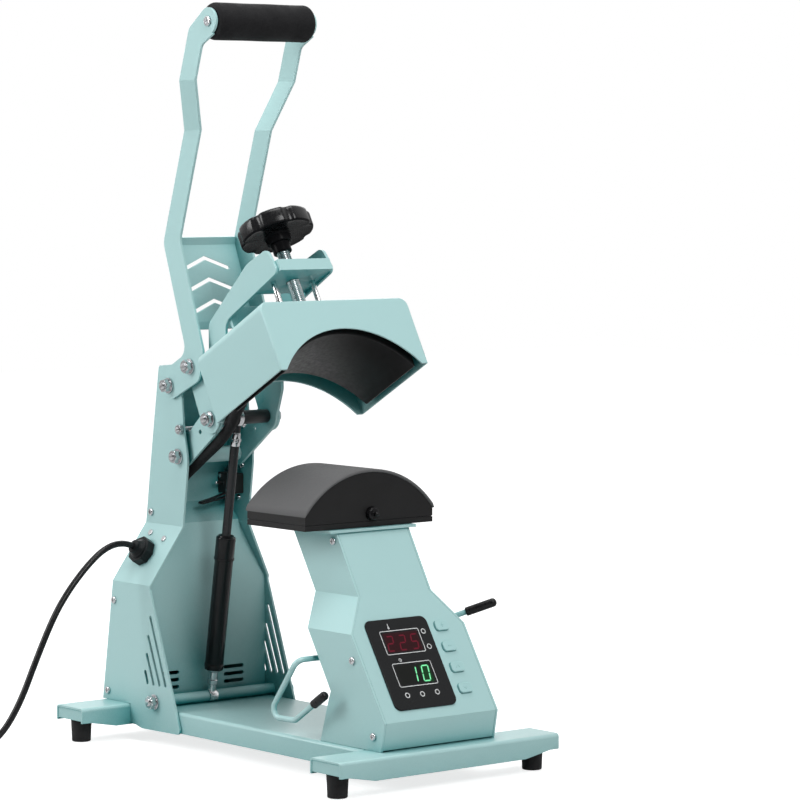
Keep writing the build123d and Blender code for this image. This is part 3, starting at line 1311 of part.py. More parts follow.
# --- Sub-parts ------------------------------------------------------------------------
def write_parts():
    os.makedirs("parts", exist_ok=True)
    side = make_tower_side()
    arm = make_handle_arm()
    plate = make_arm_plate()
    coil = make_power_cord_coil()
    nodes = {
        "base_pan": make_base_pan(),
        "front_crossbar": make_front_crossbar(),
        "rear_crossbar": make_rear_crossbar(),
        "rubber_feet": make_rubber_feet(),
        "tower_side_right": side,
        "tower_side_left": lone(mirrored(side) - slope_screw_bores()),
        "tower_inner_panel": make_tower_inner_panel(),
        "tower_back_cover": make_tower_back_cover(),
        "cover_screws": make_cover_screws(),
        "pivot_bolts": make_pivot_bolts(),
        "stop_rod": make_stop_rod(),
        "spring_sleeves": make_spring_sleeves(),
        "limit_switch": make_limit_switch(),
        "switch_plunger": make_switch_plunger(),
        "power_switch": make_power_switch(),
        "power_rocker": make_power_rocker(),
        "cord_gland": make_cord_gland(),
        "power_cord": lone(make_power_cord() - coil),
        "power_cord_coil": coil,
        "power_plug": lone(make_power_plug() - coil),
        "post_shell": make_post_shell(),
        "post_front_panel": make_post_front_panel(),
        "post_top_plate": make_post_top_plate(),
        "display_window": make_display_window(),
        "control_board": make_control_board(),
        "handle_arm_right": arm,
        "handle_arm_left": mirrored(arm),
        "handle_web": make_handle_web(),
        "grip_tube": make_grip_tube(),
        "grip_foam": make_grip_foam(),
        "grip_screws": make_grip_screws(),
        "toggle_bolts": make_toggle_bolts(),
        "toggle_links": make_toggle_links(),
        "arm_plate_right": plate,
        "arm_plate_left": mirrored(plate),
        "arm_web": make_arm_web(),
        "arm_spacers": make_arm_spacers(),
        "nut_plate": make_nut_plate(),
        "arm_pin_bolt": make_arm_pin_bolt(),
        "heater_cable": make_heater_cable(),
        "housing_shell": make_housing_shell(),
        "heating_platen": make_heating_platen(),
        "platen_studs": make_platen_studs(),
        "insulation_pad": make_insulation_pad(),
        "thrust_plate": make_thrust_plate(),
        "guide_rods": make_guide_rods(),
        "pressure_screw": make_pressure_screw(),
        "pressure_knob": make_pressure_knob(),
        "gas_cylinder": make_gas_cylinder(),
        "gas_rod": make_gas_rod(),
        "lower_platen_base": make_lower_platen_base(),
        "silicone_pad": make_silicone_pad(),
        "platen_lock_knob": make_platen_lock_knob(),
        "hold_down_rod": make_hold_down_rod(),
        "hold_down_grips": make_hold_down_grips(),
    }
    for number, spot in enumerate(button_spots(), start=1):
        nodes[f"button_{number}"] = make_button(spot)
    for name, shape in nodes.items():
        export_step(shape, f"parts/{name}.step")
    print(len(nodes), "sub-parts")


write_parts()
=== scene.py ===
import math

import bmesh
import bpy
from mathutils import Matrix, Vector


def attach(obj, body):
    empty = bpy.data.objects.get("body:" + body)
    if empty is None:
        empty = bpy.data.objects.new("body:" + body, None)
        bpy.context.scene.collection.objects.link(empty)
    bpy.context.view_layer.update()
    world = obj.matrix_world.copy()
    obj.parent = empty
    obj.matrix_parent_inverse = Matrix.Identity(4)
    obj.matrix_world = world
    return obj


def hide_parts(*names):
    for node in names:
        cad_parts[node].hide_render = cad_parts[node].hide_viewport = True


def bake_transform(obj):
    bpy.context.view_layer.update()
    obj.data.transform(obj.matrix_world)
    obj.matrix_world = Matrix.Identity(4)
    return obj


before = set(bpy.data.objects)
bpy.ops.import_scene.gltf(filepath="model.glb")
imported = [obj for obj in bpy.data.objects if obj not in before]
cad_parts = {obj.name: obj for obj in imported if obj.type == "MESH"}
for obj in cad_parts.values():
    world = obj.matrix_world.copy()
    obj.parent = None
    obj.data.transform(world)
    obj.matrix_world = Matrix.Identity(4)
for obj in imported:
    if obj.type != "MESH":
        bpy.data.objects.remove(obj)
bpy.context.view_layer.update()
MM = 0.001

# ---------------------------------------------------------------------------
# Studio
# The press stands on a plain pale floor that runs into a white surround, lit by
# large soft boxes. The camera stands to the left of its front, a little above it.
# ---------------------------------------------------------------------------
bpy.context.scene.view_settings.view_transform = "Standard"

camera_data = bpy.data.cameras.new("studio_camera")
camera_data.lens = 157.96
camera_data.sensor_width = 36.0
camera_data.clip_end = 20.0
camera = bpy.data.objects.new("studio_camera", camera_data)
camera.location = (-2.28616, -2.92649, 0.62741)
camera.rotation_euler = Vector((0.6365, 0.7684, -0.0668)).to_track_quat("-Z", "Y").to_euler()
bpy.context.scene.collection.objects.link(camera)
bpy.context.scene.camera = camera


def math_node(tree, operation, first, second):
    """The result of the operation on two values, each a number or another node's output."""
    node = tree.nodes.new("ShaderNodeMath")
    node.operation = operation
    for socket, value in zip(node.inputs, (first, second)):
        if isinstance(value, (int, float)):
            socket.default_value = value
        else:
            tree.links.new(value, socket)
    return node.outputs[0]


def spread(tree, value, low, high, start=0.0, end=1.0):
    """value from start to end, spread from low to high."""
    ranged = tree.nodes.new("ShaderNodeMapRange")
    ranged.inputs["From Min"].default_value = start
    ranged.inputs["From Max"].default_value = end
    ranged.inputs["To Min"].default_value = low
    ranged.inputs["To Max"].default_value = high
    tree.links.new(value, ranged.inputs["Value"])
    return ranged.outputs["Result"]


def paint_named(name):
    """A new material with its tree and its shader."""
    paint = bpy.data.materials.new(name)
    paint.use_nodes = True
    return paint, paint.node_tree, paint.node_tree.nodes["Principled BSDF"]


def seen_directly(tree):
    """1 where the eye, a reflection or a pane looks at the surface, 0 for its light."""
    path = tree.nodes.new("ShaderNodeLightPath")
    mirrored = math_node(tree, "MAXIMUM", path.outputs["Is Glossy Ray"],
                         path.outputs["Is Transmission Ray"])
    return math_node(tree, "MAXIMUM", path.outputs["Is Camera Ray"], mirrored)


# White backdrop all round for the eye. In a reflection the room behind the camera is
# dim, so that metal and gloss show where they turn away from the backdrop.
SURROUND_LIGHT = 0.13              # strength with which the surround lights the press
world = bpy.data.worlds.new("studio_surround")
bpy.context.scene.world = world
world.use_nodes = True
world_tree = world.node_tree
background = world_tree.nodes["Background"]
background.inputs["Color"].default_value = (1.0, 1.0, 1.0, 1.0)
looking = world_tree.nodes.new("ShaderNodeTexCoord")
to_backdrop = world_tree.nodes.new("ShaderNodeVectorMath")
to_backdrop.operation = "DOT_PRODUCT"
to_backdrop.inputs[1].default_value = (0.72, 0.68, 0.1)
world_tree.links.new(looking.outputs["Generated"], to_backdrop.inputs[0])
room = spread(world_tree, to_backdrop.outputs["Value"], SURROUND_LIGHT, 1.0, -0.25, 0.35)
eye = world_tree.nodes.new("ShaderNodeLightPath").outputs["Is Camera Ray"]
shown = math_node(world_tree, "MULTIPLY", seen_directly(world_tree),
                  math_node(world_tree, "MAXIMUM", eye, room))
world_tree.links.new(math_node(world_tree, "MAXIMUM", shown, SURROUND_LIGHT),
                     background.inputs["Strength"])

# Floor, white to the eye and a little darker under the press
floor_mesh = bpy.data.meshes.new("studio_floor")
FLOOR_HALF = 6
floor_mesh.from_pydata([(-FLOOR_HALF, -FLOOR_HALF, 0), (FLOOR_HALF, -FLOOR_HALF, 0),
                        (FLOOR_HALF, FLOOR_HALF, 0), (-FLOOR_HALF, FLOOR_HALF, 0)],
                       [], [(0, 1, 2, 3)])
floor = bpy.data.objects.new("studio_floor", floor_mesh)
floor.location = (0, 0, -0.5 * MM)
bpy.context.scene.collection.objects.link(floor)
floor_paint, floor_tree, floor_shader = paint_named("studio_floor_paint")
floor_shader.inputs["Base Color"].default_value = (0.6, 0.6, 0.6, 1)
floor_shader.inputs["Roughness"].default_value = 0.9
floor_shader.inputs["Specular IOR Level"].default_value = 0.1
floor_shader.inputs["Emission Color"].default_value = (1, 1, 1, 1)
floor_place = floor_tree.nodes.new("ShaderNodeTexCoord")
from_middle = floor_tree.nodes.new("ShaderNodeVectorMath")
from_middle.operation = "LENGTH"
floor_tree.links.new(floor_place.outputs["Object"], from_middle.inputs[0])
floor_glow = spread(floor_tree, from_middle.outputs["Value"], 0.78, 1.0, 0.4, 1.6)
FLOOR_IN_REFLECTION = 0.2
floor_eye = floor_tree.nodes.new("ShaderNodeLightPath").outputs["Is Camera Ray"]
floor_seen = math_node(floor_tree, "MULTIPLY", seen_directly(floor_tree),
                       math_node(floor_tree, "MAXIMUM", floor_eye, FLOOR_IN_REFLECTION))
floor_tree.links.new(math_node(floor_tree, "MULTIPLY", floor_seen, floor_glow),
                     floor_shader.inputs["Emission Strength"])
floor_mesh.materials.append(floor_paint)


def soft_box(name, place, aim, size, power):
    """Adds a lamp of that width and height, in metres, at place and turned to aim."""
    data = bpy.data.lights.new(name, "AREA")
    data.shape = "RECTANGLE"
    data.size, data.size_y = size
    data.energy = power
    lamp = bpy.data.objects.new(name, data)
    lamp.location = place
    lamp.rotation_euler = (Vector(aim) - Vector(place)).to_track_quat("-Z", "Y").to_euler()
    bpy.context.scene.collection.objects.link(lamp)


soft_box("key_box", (-0.35, -2.4, 2.1), (0, 0, 0.35), (1.2, 1.2), 48)
soft_box("side_box", (-1.55, 0.9, 1.15), (0, 0.15, 0.35), (0.8, 1.1), 24)
soft_box("top_box", (-0.2, -0.2, 2.5), (0, 0, 0.3), (1.2, 1.2), 26)
soft_box("back_box", (1.5, 1.6, 1.6), (0, 0, 0.4), (1.2, 1.2), 7)


# ---------------------------------------------------------------------------
# Supply cord
# Round cable in black soft plastic, from the gland on the tower's left shoulder
# down to the bench, where the spare length lies in a coil under a strap, its
# moulded plug beside it.
# ---------------------------------------------------------------------------
def place_on_piece(tree):
    """Where the surface lies in the piece's own axes, in metres."""
    return tree.nodes.new("ShaderNodeTexCoord").outputs["Object"]


def grain(tree, scale, detail=2.0):
    """Cloudy value from 0 to 1, at scale lumps a metre, fixed to the piece."""
    noise = tree.nodes.new("ShaderNodeTexNoise")
    noise.inputs["Scale"].default_value = scale
    noise.inputs["Detail"].default_value = detail
    tree.links.new(place_on_piece(tree), noise.inputs["Vector"])
    return noise.outputs["Fac"]


def mixed(tree, share, first, second):
    """Colour between first and second, each a colour or another node's output."""
    mix = tree.nodes.new("ShaderNodeMix")
    mix.data_type = "RGBA"
    tree.links.new(share, mix.inputs["Factor"])
    for socket, colour in ((mix.inputs[6], first), (mix.inputs[7], second)):
        if isinstance(colour, tuple):
            socket.default_value = (*colour, 1)
        else:
            tree.links.new(colour, socket)
    return mix.outputs[2]


def relief(tree, shader, height, depth, strength=1.0):
    """Bump of that depth in metres."""
    bump = tree.nodes.new("ShaderNodeBump")
    bump.inputs["Distance"].default_value = depth
    bump.inputs["Strength"].default_value = strength
    tree.links.new(height, bump.inputs["Height"])
    tree.links.new(bump.outputs["Normal"], shader.inputs["Normal"])


def moulded(name, tone, gloss, pore_scale, pore_depth, shine=0.22):
    """Plastic, rubber or cloth: cloudy tone, uneven gloss and a fine grain."""
    paint, tree, shader = paint_named(name)
    dark = tuple(0.72 * channel for channel in tone)
    tree.links.new(mixed(tree, grain(tree, 45, 3), dark, tone), shader.inputs["Base Color"])
    tree.links.new(spread(tree, grain(tree, 260, 3), gloss - 0.07, gloss + 0.09, 0.3, 0.7),
                   shader.inputs["Roughness"])
    shader.inputs["Specular IOR Level"].default_value = shine
    relief(tree, shader, grain(tree, pore_scale, 2), pore_depth)
    return paint


cord_jacket = moulded("cord_soft_plastic", (0.014, 0.014, 0.015), 0.3, 900, 0.00005)


def link_piece(name, data, paint, body):
    """Puts the piece in the scene, painted and riding on its body."""
    piece = bpy.data.objects.new(name, data)
    bpy.context.scene.collection.objects.link(piece)
    data.materials.append(paint)
    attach(piece, body)
    return piece


def mesh_piece(name, bm, paint, body, crease=35.0, place=Matrix.Identity(4)):
    """A mesh in mm set at its place, smooth but for its edges over crease degrees."""
    bmesh.ops.transform(bm, matrix=Matrix.Scale(MM, 4) @ place, verts=bm.verts)
    bmesh.ops.recalc_face_normals(bm, faces=bm.faces)
    for face in bm.faces:
        face.smooth = True
    for edge in bm.edges:
        if len(edge.link_faces) == 2 and edge.calc_face_angle(0.0) > math.radians(crease):
            edge.smooth = False
    mesh = bpy.data.meshes.new(name)
    bm.to_mesh(mesh)
    bm.free()
    return link_piece(name, mesh, paint, body)


def axes_at(origin, normal, across=(1, 0, 0)):
    """Frame at origin whose Z is normal and whose X lies nearest to across."""
    z = Vector(normal).normalized()
    x = (Vector(across) - Vector(across).dot(z) * z).normalized()
    y = z.cross(x)
    turn = Matrix((x, y, z)).transposed().to_4x4()
    return Matrix.Translation(Vector(origin)) @ turn


CORD_D = 7.0
SHOULDER = Vector((-63.214, 195.0, 204.0))      # gland's place on the sloped sheet
GLAND_WAY = Vector((-0.86824, 0.0, 0.49614))
GLAND_H = 10.0
COIL_CENTRE = (-340.0, 244.0)
COIL_OUTER = 41.5
COIL_INNER = 34.5
cord_points = [
    SHOULDER + GLAND_H * GLAND_WAY,
    SHOULDER + 22.0 * GLAND_WAY,
    (-101.3, 194.8, 217.0),
    (-119.8, 194.3, 210.6),
    (-136.8, 193.8, 198.2),
    (-152.6, 193.3, 183.6),
    (-167.8, 192.8, 167.2),
    (-185.0, 192.0, 144.5),
    (-206.0, 193.0, 102.5),
    (-228.0, 195.0, 52.0),
    (-252.0, 198.0, 18.0),
    (-285.0, 201.5, 3.6),
    (-318.0, 202.3, 3.6),
]
# Turns as (radius, height), from the first on the bench to the last, which is a half turn
COIL_TURNS = [(COIL_OUTER, 3.6), (COIL_INNER, 3.6), (COIL_INNER, 10.6), (COIL_INNER, 17.6),
              (COIL_OUTER, 17.6), (COIL_OUTER, 10.6)]
COIL_TURN_COUNT = 5.5
COIL_CROSSING = 0.3                # share of a turn in which it moves over to the next
STEPS_A_TURN = 16
# The spline runs inside its points, at this share of their radius
SPLINE_REACH = (3 + math.cos(2 * math.pi / STEPS_A_TURN)) / 4
for step in range(1, int(COIL_TURN_COUNT * STEPS_A_TURN) + 1):
    turn, share = divmod(step / STEPS_A_TURN, 1.0)
    turn = int(turn)
    radius, height = COIL_TURNS[turn]
    if turn + 1 < len(COIL_TURNS):
        crossing = max(0.0, (share - 1 + COIL_CROSSING) / COIL_CROSSING)
        crossing = crossing * crossing * (3 - 2 * crossing)
        radius += crossing * (COIL_TURNS[turn + 1][0] - radius)
        height += crossing * (COIL_TURNS[turn + 1][1] - height)
    angle = -math.pi / 2 - 2 * math.pi * step / STEPS_A_TURN
    cord_points.append((COIL_CENTRE[0] + radius / SPLINE_REACH * math.cos(angle),
                        COIL_CENTRE[1] + radius / SPLINE_REACH * math.sin(angle), height))
cord_points += [(-330.0, 285.0, 10.5), (-320.0, 283.0, 10.2), (-309.0, 282.0, 10.1)]


def round_tube(name, points, diameter, steps, sides):
    """Curve of a soft round tube led past the points, all in mm."""
    tube = bpy.data.curves.new(name, "CURVE")
    tube.dimensions = "3D"
    line = tube.splines.new("NURBS")
    line.points.add(len(points) - 1)
    for point, place in zip(line.points, points):
        point.co = (*(MM * Vector(place)), 1.0)
    line.order_u = 3
    line.use_endpoint_u = True
    line.resolution_u = steps
    tube.bevel_depth = diameter / 2 * MM
    tube.bevel_resolution = sides
    return tube


supply_cord = link_piece("supply_cord", round_tube("supply_cord", cord_points, CORD_D, 8, 5),
                         cord_jacket, "frame")
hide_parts("power_cord", "power_cord_coil")


def skin(bm, rings, closed=False):
    """Joins each ring of vertices to the next, and the last to the first where closed."""
    pairs = list(zip(rings, rings[1:]))
    if closed:
        pairs.append((rings[-1], rings[0]))
    for lower, upper in pairs:
        for i in range(len(lower)):
            j = (i + 1) % len(lower)
            corners = []
            for vert in (lower[i], lower[j], upper[j], upper[i]):
                if vert not in corners:
                    corners.append(vert)
            if len(corners) > 2:
                bm.faces.new(corners)


# Woven strap round the coil, thicker along its middle than at its edges
STRAP_HALF = 7.0
STRAP_HEM = 0.6
STRAP_RISE = 0.35
STRAP_MIDDLE = (38.0, 11.0)
# (distance from the coil's axis, height) round the strap's outer face
strap_loop = [(30.6, 0.0), (45.6, 0.0), (46.0, 1.2), (46.0, 20.9), (45.0, 22.0), (31.0, 22.0),
              (30.2, 21.0), (30.2, 1.0)]
strap_cloth = moulded("strap_woven_nylon", (0.03, 0.03, 0.032), 0.75, 1500, 0.0002)
bm = bmesh.new()
rings = []
for edge, rise in ((-STRAP_HALF, 0.0), (STRAP_HEM - STRAP_HALF, STRAP_RISE),
                   (STRAP_HALF - STRAP_HEM, STRAP_RISE), (STRAP_HALF, 0.0)):
    rings.append([bm.verts.new((r + rise * (1 if r > STRAP_MIDDLE[0] else -1), edge,
                                h + (rise if h > STRAP_MIDDLE[1] else 0)))
                  for r, h in strap_loop])
for edge in (STRAP_HALF, -STRAP_HALF):
    rings.append([bm.verts.new((STRAP_MIDDLE[0] + (r - STRAP_MIDDLE[0]) * 0.9, edge,
                                STRAP_MIDDLE[1] + (h - STRAP_MIDDLE[1]) * 0.92))
                  for r, h in strap_loop])
skin(bm, rings, closed=True)
strap_turn = Matrix.Rotation(math.radians(235), 4, "Z")
coil_strap = mesh_piece("coil_strap", bm, strap_cloth, "frame", 50,
                        place=Matrix.Translation((*COIL_CENTRE, 0)) @ strap_turn)


def finished(paint, radius, *names):
    """The CAD nodes take this paint, and their edges a radius in mm, or none at 0."""
    for name in names:
        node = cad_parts[name]
        node.data.materials.clear()
        node.data.materials.append(paint)
        if not radius:
            continue
        weld = node.modifiers.new("joined_corners", "WELD")
        weld.merge_threshold = 0.02 * MM
        flat = node.modifiers.new("whole_faces", "DECIMATE")
        flat.decimate_type = "DISSOLVE"
        flat.angle_limit = math.radians(0.4)
        rounded = node.modifiers.new("rounded_edges", "BEVEL")
        rounded.width = radius * MM
        rounded.segments = 2
        rounded.limit_method = "ANGLE"
        rounded.angle_limit = math.radians(32)
        rounded.harden_normals = True


def along(tree, origin, way):
    """How far the surface lies from origin, in mm, along way; in metres."""
    less = tree.nodes.new("ShaderNodeVectorMath")
    less.operation = "SUBTRACT"
    less.inputs[1].default_value = MM * Vector(origin)
    tree.links.new(place_on_piece(tree), less.inputs[0])
    dot = tree.nodes.new("ShaderNodeVectorMath")
    dot.operation = "DOT_PRODUCT"
    dot.inputs[1].default_value = Vector(way)
    tree.links.new(less.outputs["Vector"], dot.inputs[0])
    return dot.outputs["Value"]


def between(tree, value, start, end, fade=0.0003):
    """1 where value, in metres, is from start to end, in mm."""
    over = spread(tree, value, 0, 1, start * MM - fade, start * MM + fade)
    under = spread(tree, value, 1, 0, end * MM - fade, end * MM + fade)
    return math_node(tree, "MULTIPLY", over, under)


def part_metal(name, tone, gloss, metal_share, metal_tone=(0.74, 0.75, 0.76)):
    """Black plastic or paint, with bare metal where metal_share(tree) is 1."""
    paint, tree, shader = paint_named(name)
    share = metal_share(tree)
    cloudy = mixed(tree, grain(tree, 60, 3), tuple(0.75 * c for c in tone), tone)
    tree.links.new(mixed(tree, share, cloudy, metal_tone), shader.inputs["Base Color"])
    tree.links.new(share, shader.inputs["Metallic"])
    uneven = spread(tree, grain(tree, 300, 3), gloss - 0.06, gloss + 0.08, 0.3, 0.7)
    bright = spread(tree, grain(tree, 500, 2), 0.16, 0.3, 0.3, 0.7)
    both = tree.nodes.new("ShaderNodeMix")
    tree.links.new(share, both.inputs["Factor"])
    tree.links.new(uneven, both.inputs["A"])
    tree.links.new(bright, both.inputs["B"])
    tree.links.new(both.outputs["Result"], shader.inputs["Roughness"])
    shader.inputs["Specular IOR Level"].default_value = 0.2
    relief(tree, shader, grain(tree, 1100, 2), 0.00003)
    return paint


PLUG_FACE = -271.5                 # where the plug's blades leave its body
plug_paint = part_metal(
    "plug_plastic_and_blades", (0.016, 0.016, 0.017), 0.4,
    lambda tree: between(tree, along(tree, (0, 0, 0), (1, 0, 0)), PLUG_FACE, 0, 0.0002),
    (0.8, 0.66, 0.36))
finished(plug_paint, 0.6, "power_plug")

# Ribs of the plug's strain relief
RELIEF_AT = (-311.4, 282.0, 10.1)
RIB_PITCH = 2.4
bm = bmesh.new()
for rib in range(4):
    bmesh.ops.create_cone(bm, cap_ends=True, segments=28, radius1=5.5, radius2=5.5, depth=1.3,
                          matrix=Matrix.Translation((0, 0, (rib - 1.5) * RIB_PITCH)))
mesh_piece("plug_relief_ribs", bm, cord_jacket, "frame",
           place=axes_at(RELIEF_AT, (1, 0, 0), (0, 1, 0)))


# ---------------------------------------------------------------------------
# Cord gland
# Eight-sided nut in black nylon on the sloped sheet; its nose has a domed clamping
# ring round the cord.
# ---------------------------------------------------------------------------
gland_nylon = moulded("gland_nylon", (0.010, 0.013, 0.014), 0.34, 1200, 0.00003, 0.14)
finished(gland_nylon, 0.5, "cord_gland")


def circle(bm, radius, height, steps):
    """A ring of vertices about Z, or one vertex shared by all steps on Z itself."""
    if radius < 1e-6:
        return [bm.verts.new((0, 0, height))] * steps
    return [bm.verts.new((radius * math.cos(2 * math.pi * i / steps),
                          radius * math.sin(2 * math.pi * i / steps), height))
            for i in range(steps)]


def turned(bm, profile, steps=40, closed=False):
    """Adds a body turned about Z from (radius, height) points, in mm."""
    skin(bm, [circle(bm, radius, height, steps) for radius, height in profile], closed)


bm = bmesh.new()
turned(bm, [(3.6, 18.4), (6.4, 18.4), (7.6, 17.4), (8.0, 15.6), (7.7, 14.4), (3.6, 14.4)],
       closed=True)
turned(bm, [(3.6, 11.5), (10.9, 11.5), (11.6, 10.8), (11.6, 9.9), (3.6, 9.9)], closed=True)
mesh_piece("gland_clamp_ring", bm, gland_nylon, "frame",
           place=axes_at(SHOULDER, GLAND_WAY, (0, 1, 0)))


# ---------------------------------------------------------------------------
# Base
# Two channel bars and a pan in bent sheet steel, powder coated in mint, on four
# tapered rubber feet.
# ---------------------------------------------------------------------------
MINT = (0.392, 0.612, 0.612)
MINT_PALE = (0.420, 0.640, 0.640)
# tone of the painted shade in recesses
MINT_PAINTED_SHADE = (0.030, 0.290, 0.300)


def powder_coat(name, colour=MINT, pale=MINT_PALE, shade_colour=MINT_PAINTED_SHADE, gloss=0.36):
    """Satin baked powder: faint clouds in its tone and a fine peel, with painted shade, a deep
    teal, darkening it in hollows and recesses.
    """
    paint, tree, shader = paint_named(name)
    clouds = mixed(tree, grain(tree, 9, 2), tuple(0.975 * channel for channel in colour), colour)
    grains = spread(tree, grain(tree, 1600, 2), 0.0, 0.12, 0.35, 0.75)
    # painted shade: ambient occlusion darkens recesses and corners towards a deep teal
    occlusion = tree.nodes.new("ShaderNodeAmbientOcclusion")
    occlusion.inputs["Distance"].default_value = 0.11
    occlusion.samples = 8
    painted_shade = spread(tree, occlusion.outputs["AO"], 1.0, 0.0, 0.22, 0.72)
    tree.links.new(mixed(tree, painted_shade, mixed(tree, grains, clouds, pale), shade_colour),
                   shader.inputs["Base Color"])
    tree.links.new(spread(tree, grain(tree, 240, 2), gloss - 0.03, gloss + 0.05, 0.3, 0.7),
                   shader.inputs["Roughness"])
    shader.inputs["Specular IOR Level"].default_value = 0.45
    shader.inputs["Coat Weight"].default_value = 0.1
    shader.inputs["Coat Roughness"].default_value = 0.18
    relief(tree, shader, grain(tree, 420, 2), 0.00003)
    return paint


mint_coat = powder_coat("mint_powder_coat")
finished(mint_coat, 0.55, "base_pan", "front_crossbar", "rear_crossbar")

foot_rubber = moulded("foot_rubber", (0.018, 0.018, 0.019), 0.62, 700, 0.00012)
finished(foot_rubber, 1.0, "rubber_feet")


# ---------------------------------------------------------------------------
# Tower
# Two louvred side sheets, a cabinet panel and a back cover, folded from steel sheet
# and powder coated. Cross-head screws in bright zinc hold the covers.
# ---------------------------------------------------------------------------
finished(mint_coat, 0.5, "tower_side_left", "tower_side_right", "tower_inner_panel",
         "tower_back_cover")


def metal(name, tone, gloss, line_scale=900, wear=0.12):
    """Bare or plated metal: fine uneven gloss, and dull patches from handling."""
    paint, tree, shader = paint_named(name)
    dull = tuple(channel * (1 - wear) for channel in tone)
    tree.links.new(mixed(tree, grain(tree, 120, 3), dull, tone), shader.inputs["Base Color"])
    shader.inputs["Metallic"].default_value = 1.0
    lines = grain(tree, line_scale, 2)
    tree.links.new(spread(tree, lines, gloss - 0.06, gloss + 0.1, 0.3, 0.7),
                   shader.inputs["Roughness"])
    relief(tree, shader, lines, 0.000012)
    return paint


bright_zinc = metal("bright_zinc", (0.60, 0.61, 0.625), 0.17)
finished(bright_zinc, 0.25, "cover_screws")


def strip(bm, points, wide, thick, across):
    """Adds a flat strip along the points, in mm, wide along across."""
    way = Vector(across).normalized()
    rows = []
    for i, point in enumerate(points):
        here = Vector(point)
        before = Vector(points[max(i - 1, 0)])
        after = Vector(points[min(i + 1, len(points) - 1)])
        out = (after - before).normalized().cross(way)
        rows.append([bm.verts.new(here + sx * wide / 2 * way + sz * thick / 2 * out)
                     for sx, sz in ((-1, -1), (1, -1), (1, 1), (-1, 1))])
    skin(bm, rows)
    bm.faces.new(rows[0][::-1])
    bm.faces.new(rows[-1])


def cells(tree, scale):
    """How far the surface lies from the middle of its cell, at scale cells a metre."""
    voronoi = tree.nodes.new("ShaderNodeTexVoronoi")
    voronoi.inputs["Scale"].default_value = scale
    tree.links.new(place_on_piece(tree), voronoi.inputs["Vector"])
    return voronoi.outputs["Distance"]


# Painted shade: a near-black sheet with a fine cell texture inside the back cover's slots,
# standing for the shade behind them
slot_shade_paint, slot_shade_tree, slot_shade_shader = paint_named("woven_gauze")
sheet_cells = cells(slot_shade_tree, 700)
slot_shade_tree.links.new(mixed(slot_shade_tree, sheet_cells, (0.006, 0.006, 0.006), (0.020, 0.020, 0.021)),
                     slot_shade_shader.inputs["Base Color"])
slot_shade_tree.links.new(spread(slot_shade_tree, grain(slot_shade_tree, 200, 2), 0.7, 0.9),
                     slot_shade_shader.inputs["Roughness"])
slot_shade_shader.inputs["Specular IOR Level"].default_value = 0.1
relief(slot_shade_tree, slot_shade_shader, sheet_cells, 0.0003)
SLOT_SHADE_WIDE = 76.0
SLOT_SHADE_THICK = 0.6
bm = bmesh.new()
strip(bm, [(0, 237.2, 105.5), (0, 237.7, 103.0), (0, 244.5, 57.0), (0, 244.6, 54.5)],
      SLOT_SHADE_WIDE, SLOT_SHADE_THICK, (1, 0, 0))
mesh_piece("back_vent_gauze", bm, slot_shade_paint, "frame")

# Stiffening lip folded at the back cover's top edge, as (back, up) from that edge
COVER_TOP = (194.6, 379.0)
LIP_WIDE = 84.6
SHEET = 1.6
lip_fold = [(-7.0, 7.4), (-3.8, 7.3), (-1.8, 6.6), (-0.8, 4.8), (0.0, -0.3)]
bm = bmesh.new()
strip(bm, [(0, COVER_TOP[0] + back, COVER_TOP[1] + up) for back, up in lip_fold],
      LIP_WIDE, SHEET, (1, 0, 0))
mesh_piece("back_cover_lip", bm, mint_coat, "frame")


# ---------------------------------------------------------------------------
# Switches
# Rocker power switch in the back cover, and the limit switch in the tower's recess:
# black moulded cases, a steel plunger and a sprung lever below it.
# ---------------------------------------------------------------------------
switch_case = moulded("switch_case", (0.017, 0.018, 0.018), 0.42, 1000, 0.00004)
rocker_gloss = moulded("rocker_gloss", (0.01, 0.01, 0.011), 0.2, 1400, 0.00001)
polished_steel = metal("polished_steel", (0.83, 0.83, 0.84), 0.13, 1400, 0.08)
finished(switch_case, 0.5, "limit_switch", "power_switch")
finished(rocker_gloss, 0.5, "power_rocker")
finished(polished_steel, 0.2, "switch_plunger")

SWITCH_MIDDLE = Vector((36.5, 171.0, 277.0))
LEVER_WIDE = 5.5
LEVER_THICK = 1.5
lever_steel = metal("blued_lever_steel", (0.024, 0.024, 0.026), 0.34)
# From the lever's hinge to its bent tip and back, as (towards the arm, down)
lever_run = [(5, 13.4), (16, 15.4), (32, 18.2), (45, 20.2), (47, 19.8), (45.6, 18.4), (30, 15.2),
             (14, 10.8), (5, 9.0)]
bm = bmesh.new()
strip(bm, [SWITCH_MIDDLE - Vector((inward, 6.0, down)) for inward, down in lever_run],
      LEVER_WIDE, LEVER_THICK, (0, 1, 0))
mesh_piece("limit_switch_lever", bm, lever_steel, "frame")


def join_in(bm, part, place):
    """Adds the part's mesh to bm, at its place in mm, and frees it."""
    part.transform(place)
    spare = bpy.data.meshes.new("joined_part")
    part.to_mesh(spare)
    part.free()
    bm.from_mesh(spare)
    bpy.data.meshes.remove(spare)


def lathe(profile, steps=40, closed=False):
    """A body of its own turned about Z from (radius, height) points, in mm."""
    part = bmesh.new()
    turned(part, profile, steps, closed)
    return part


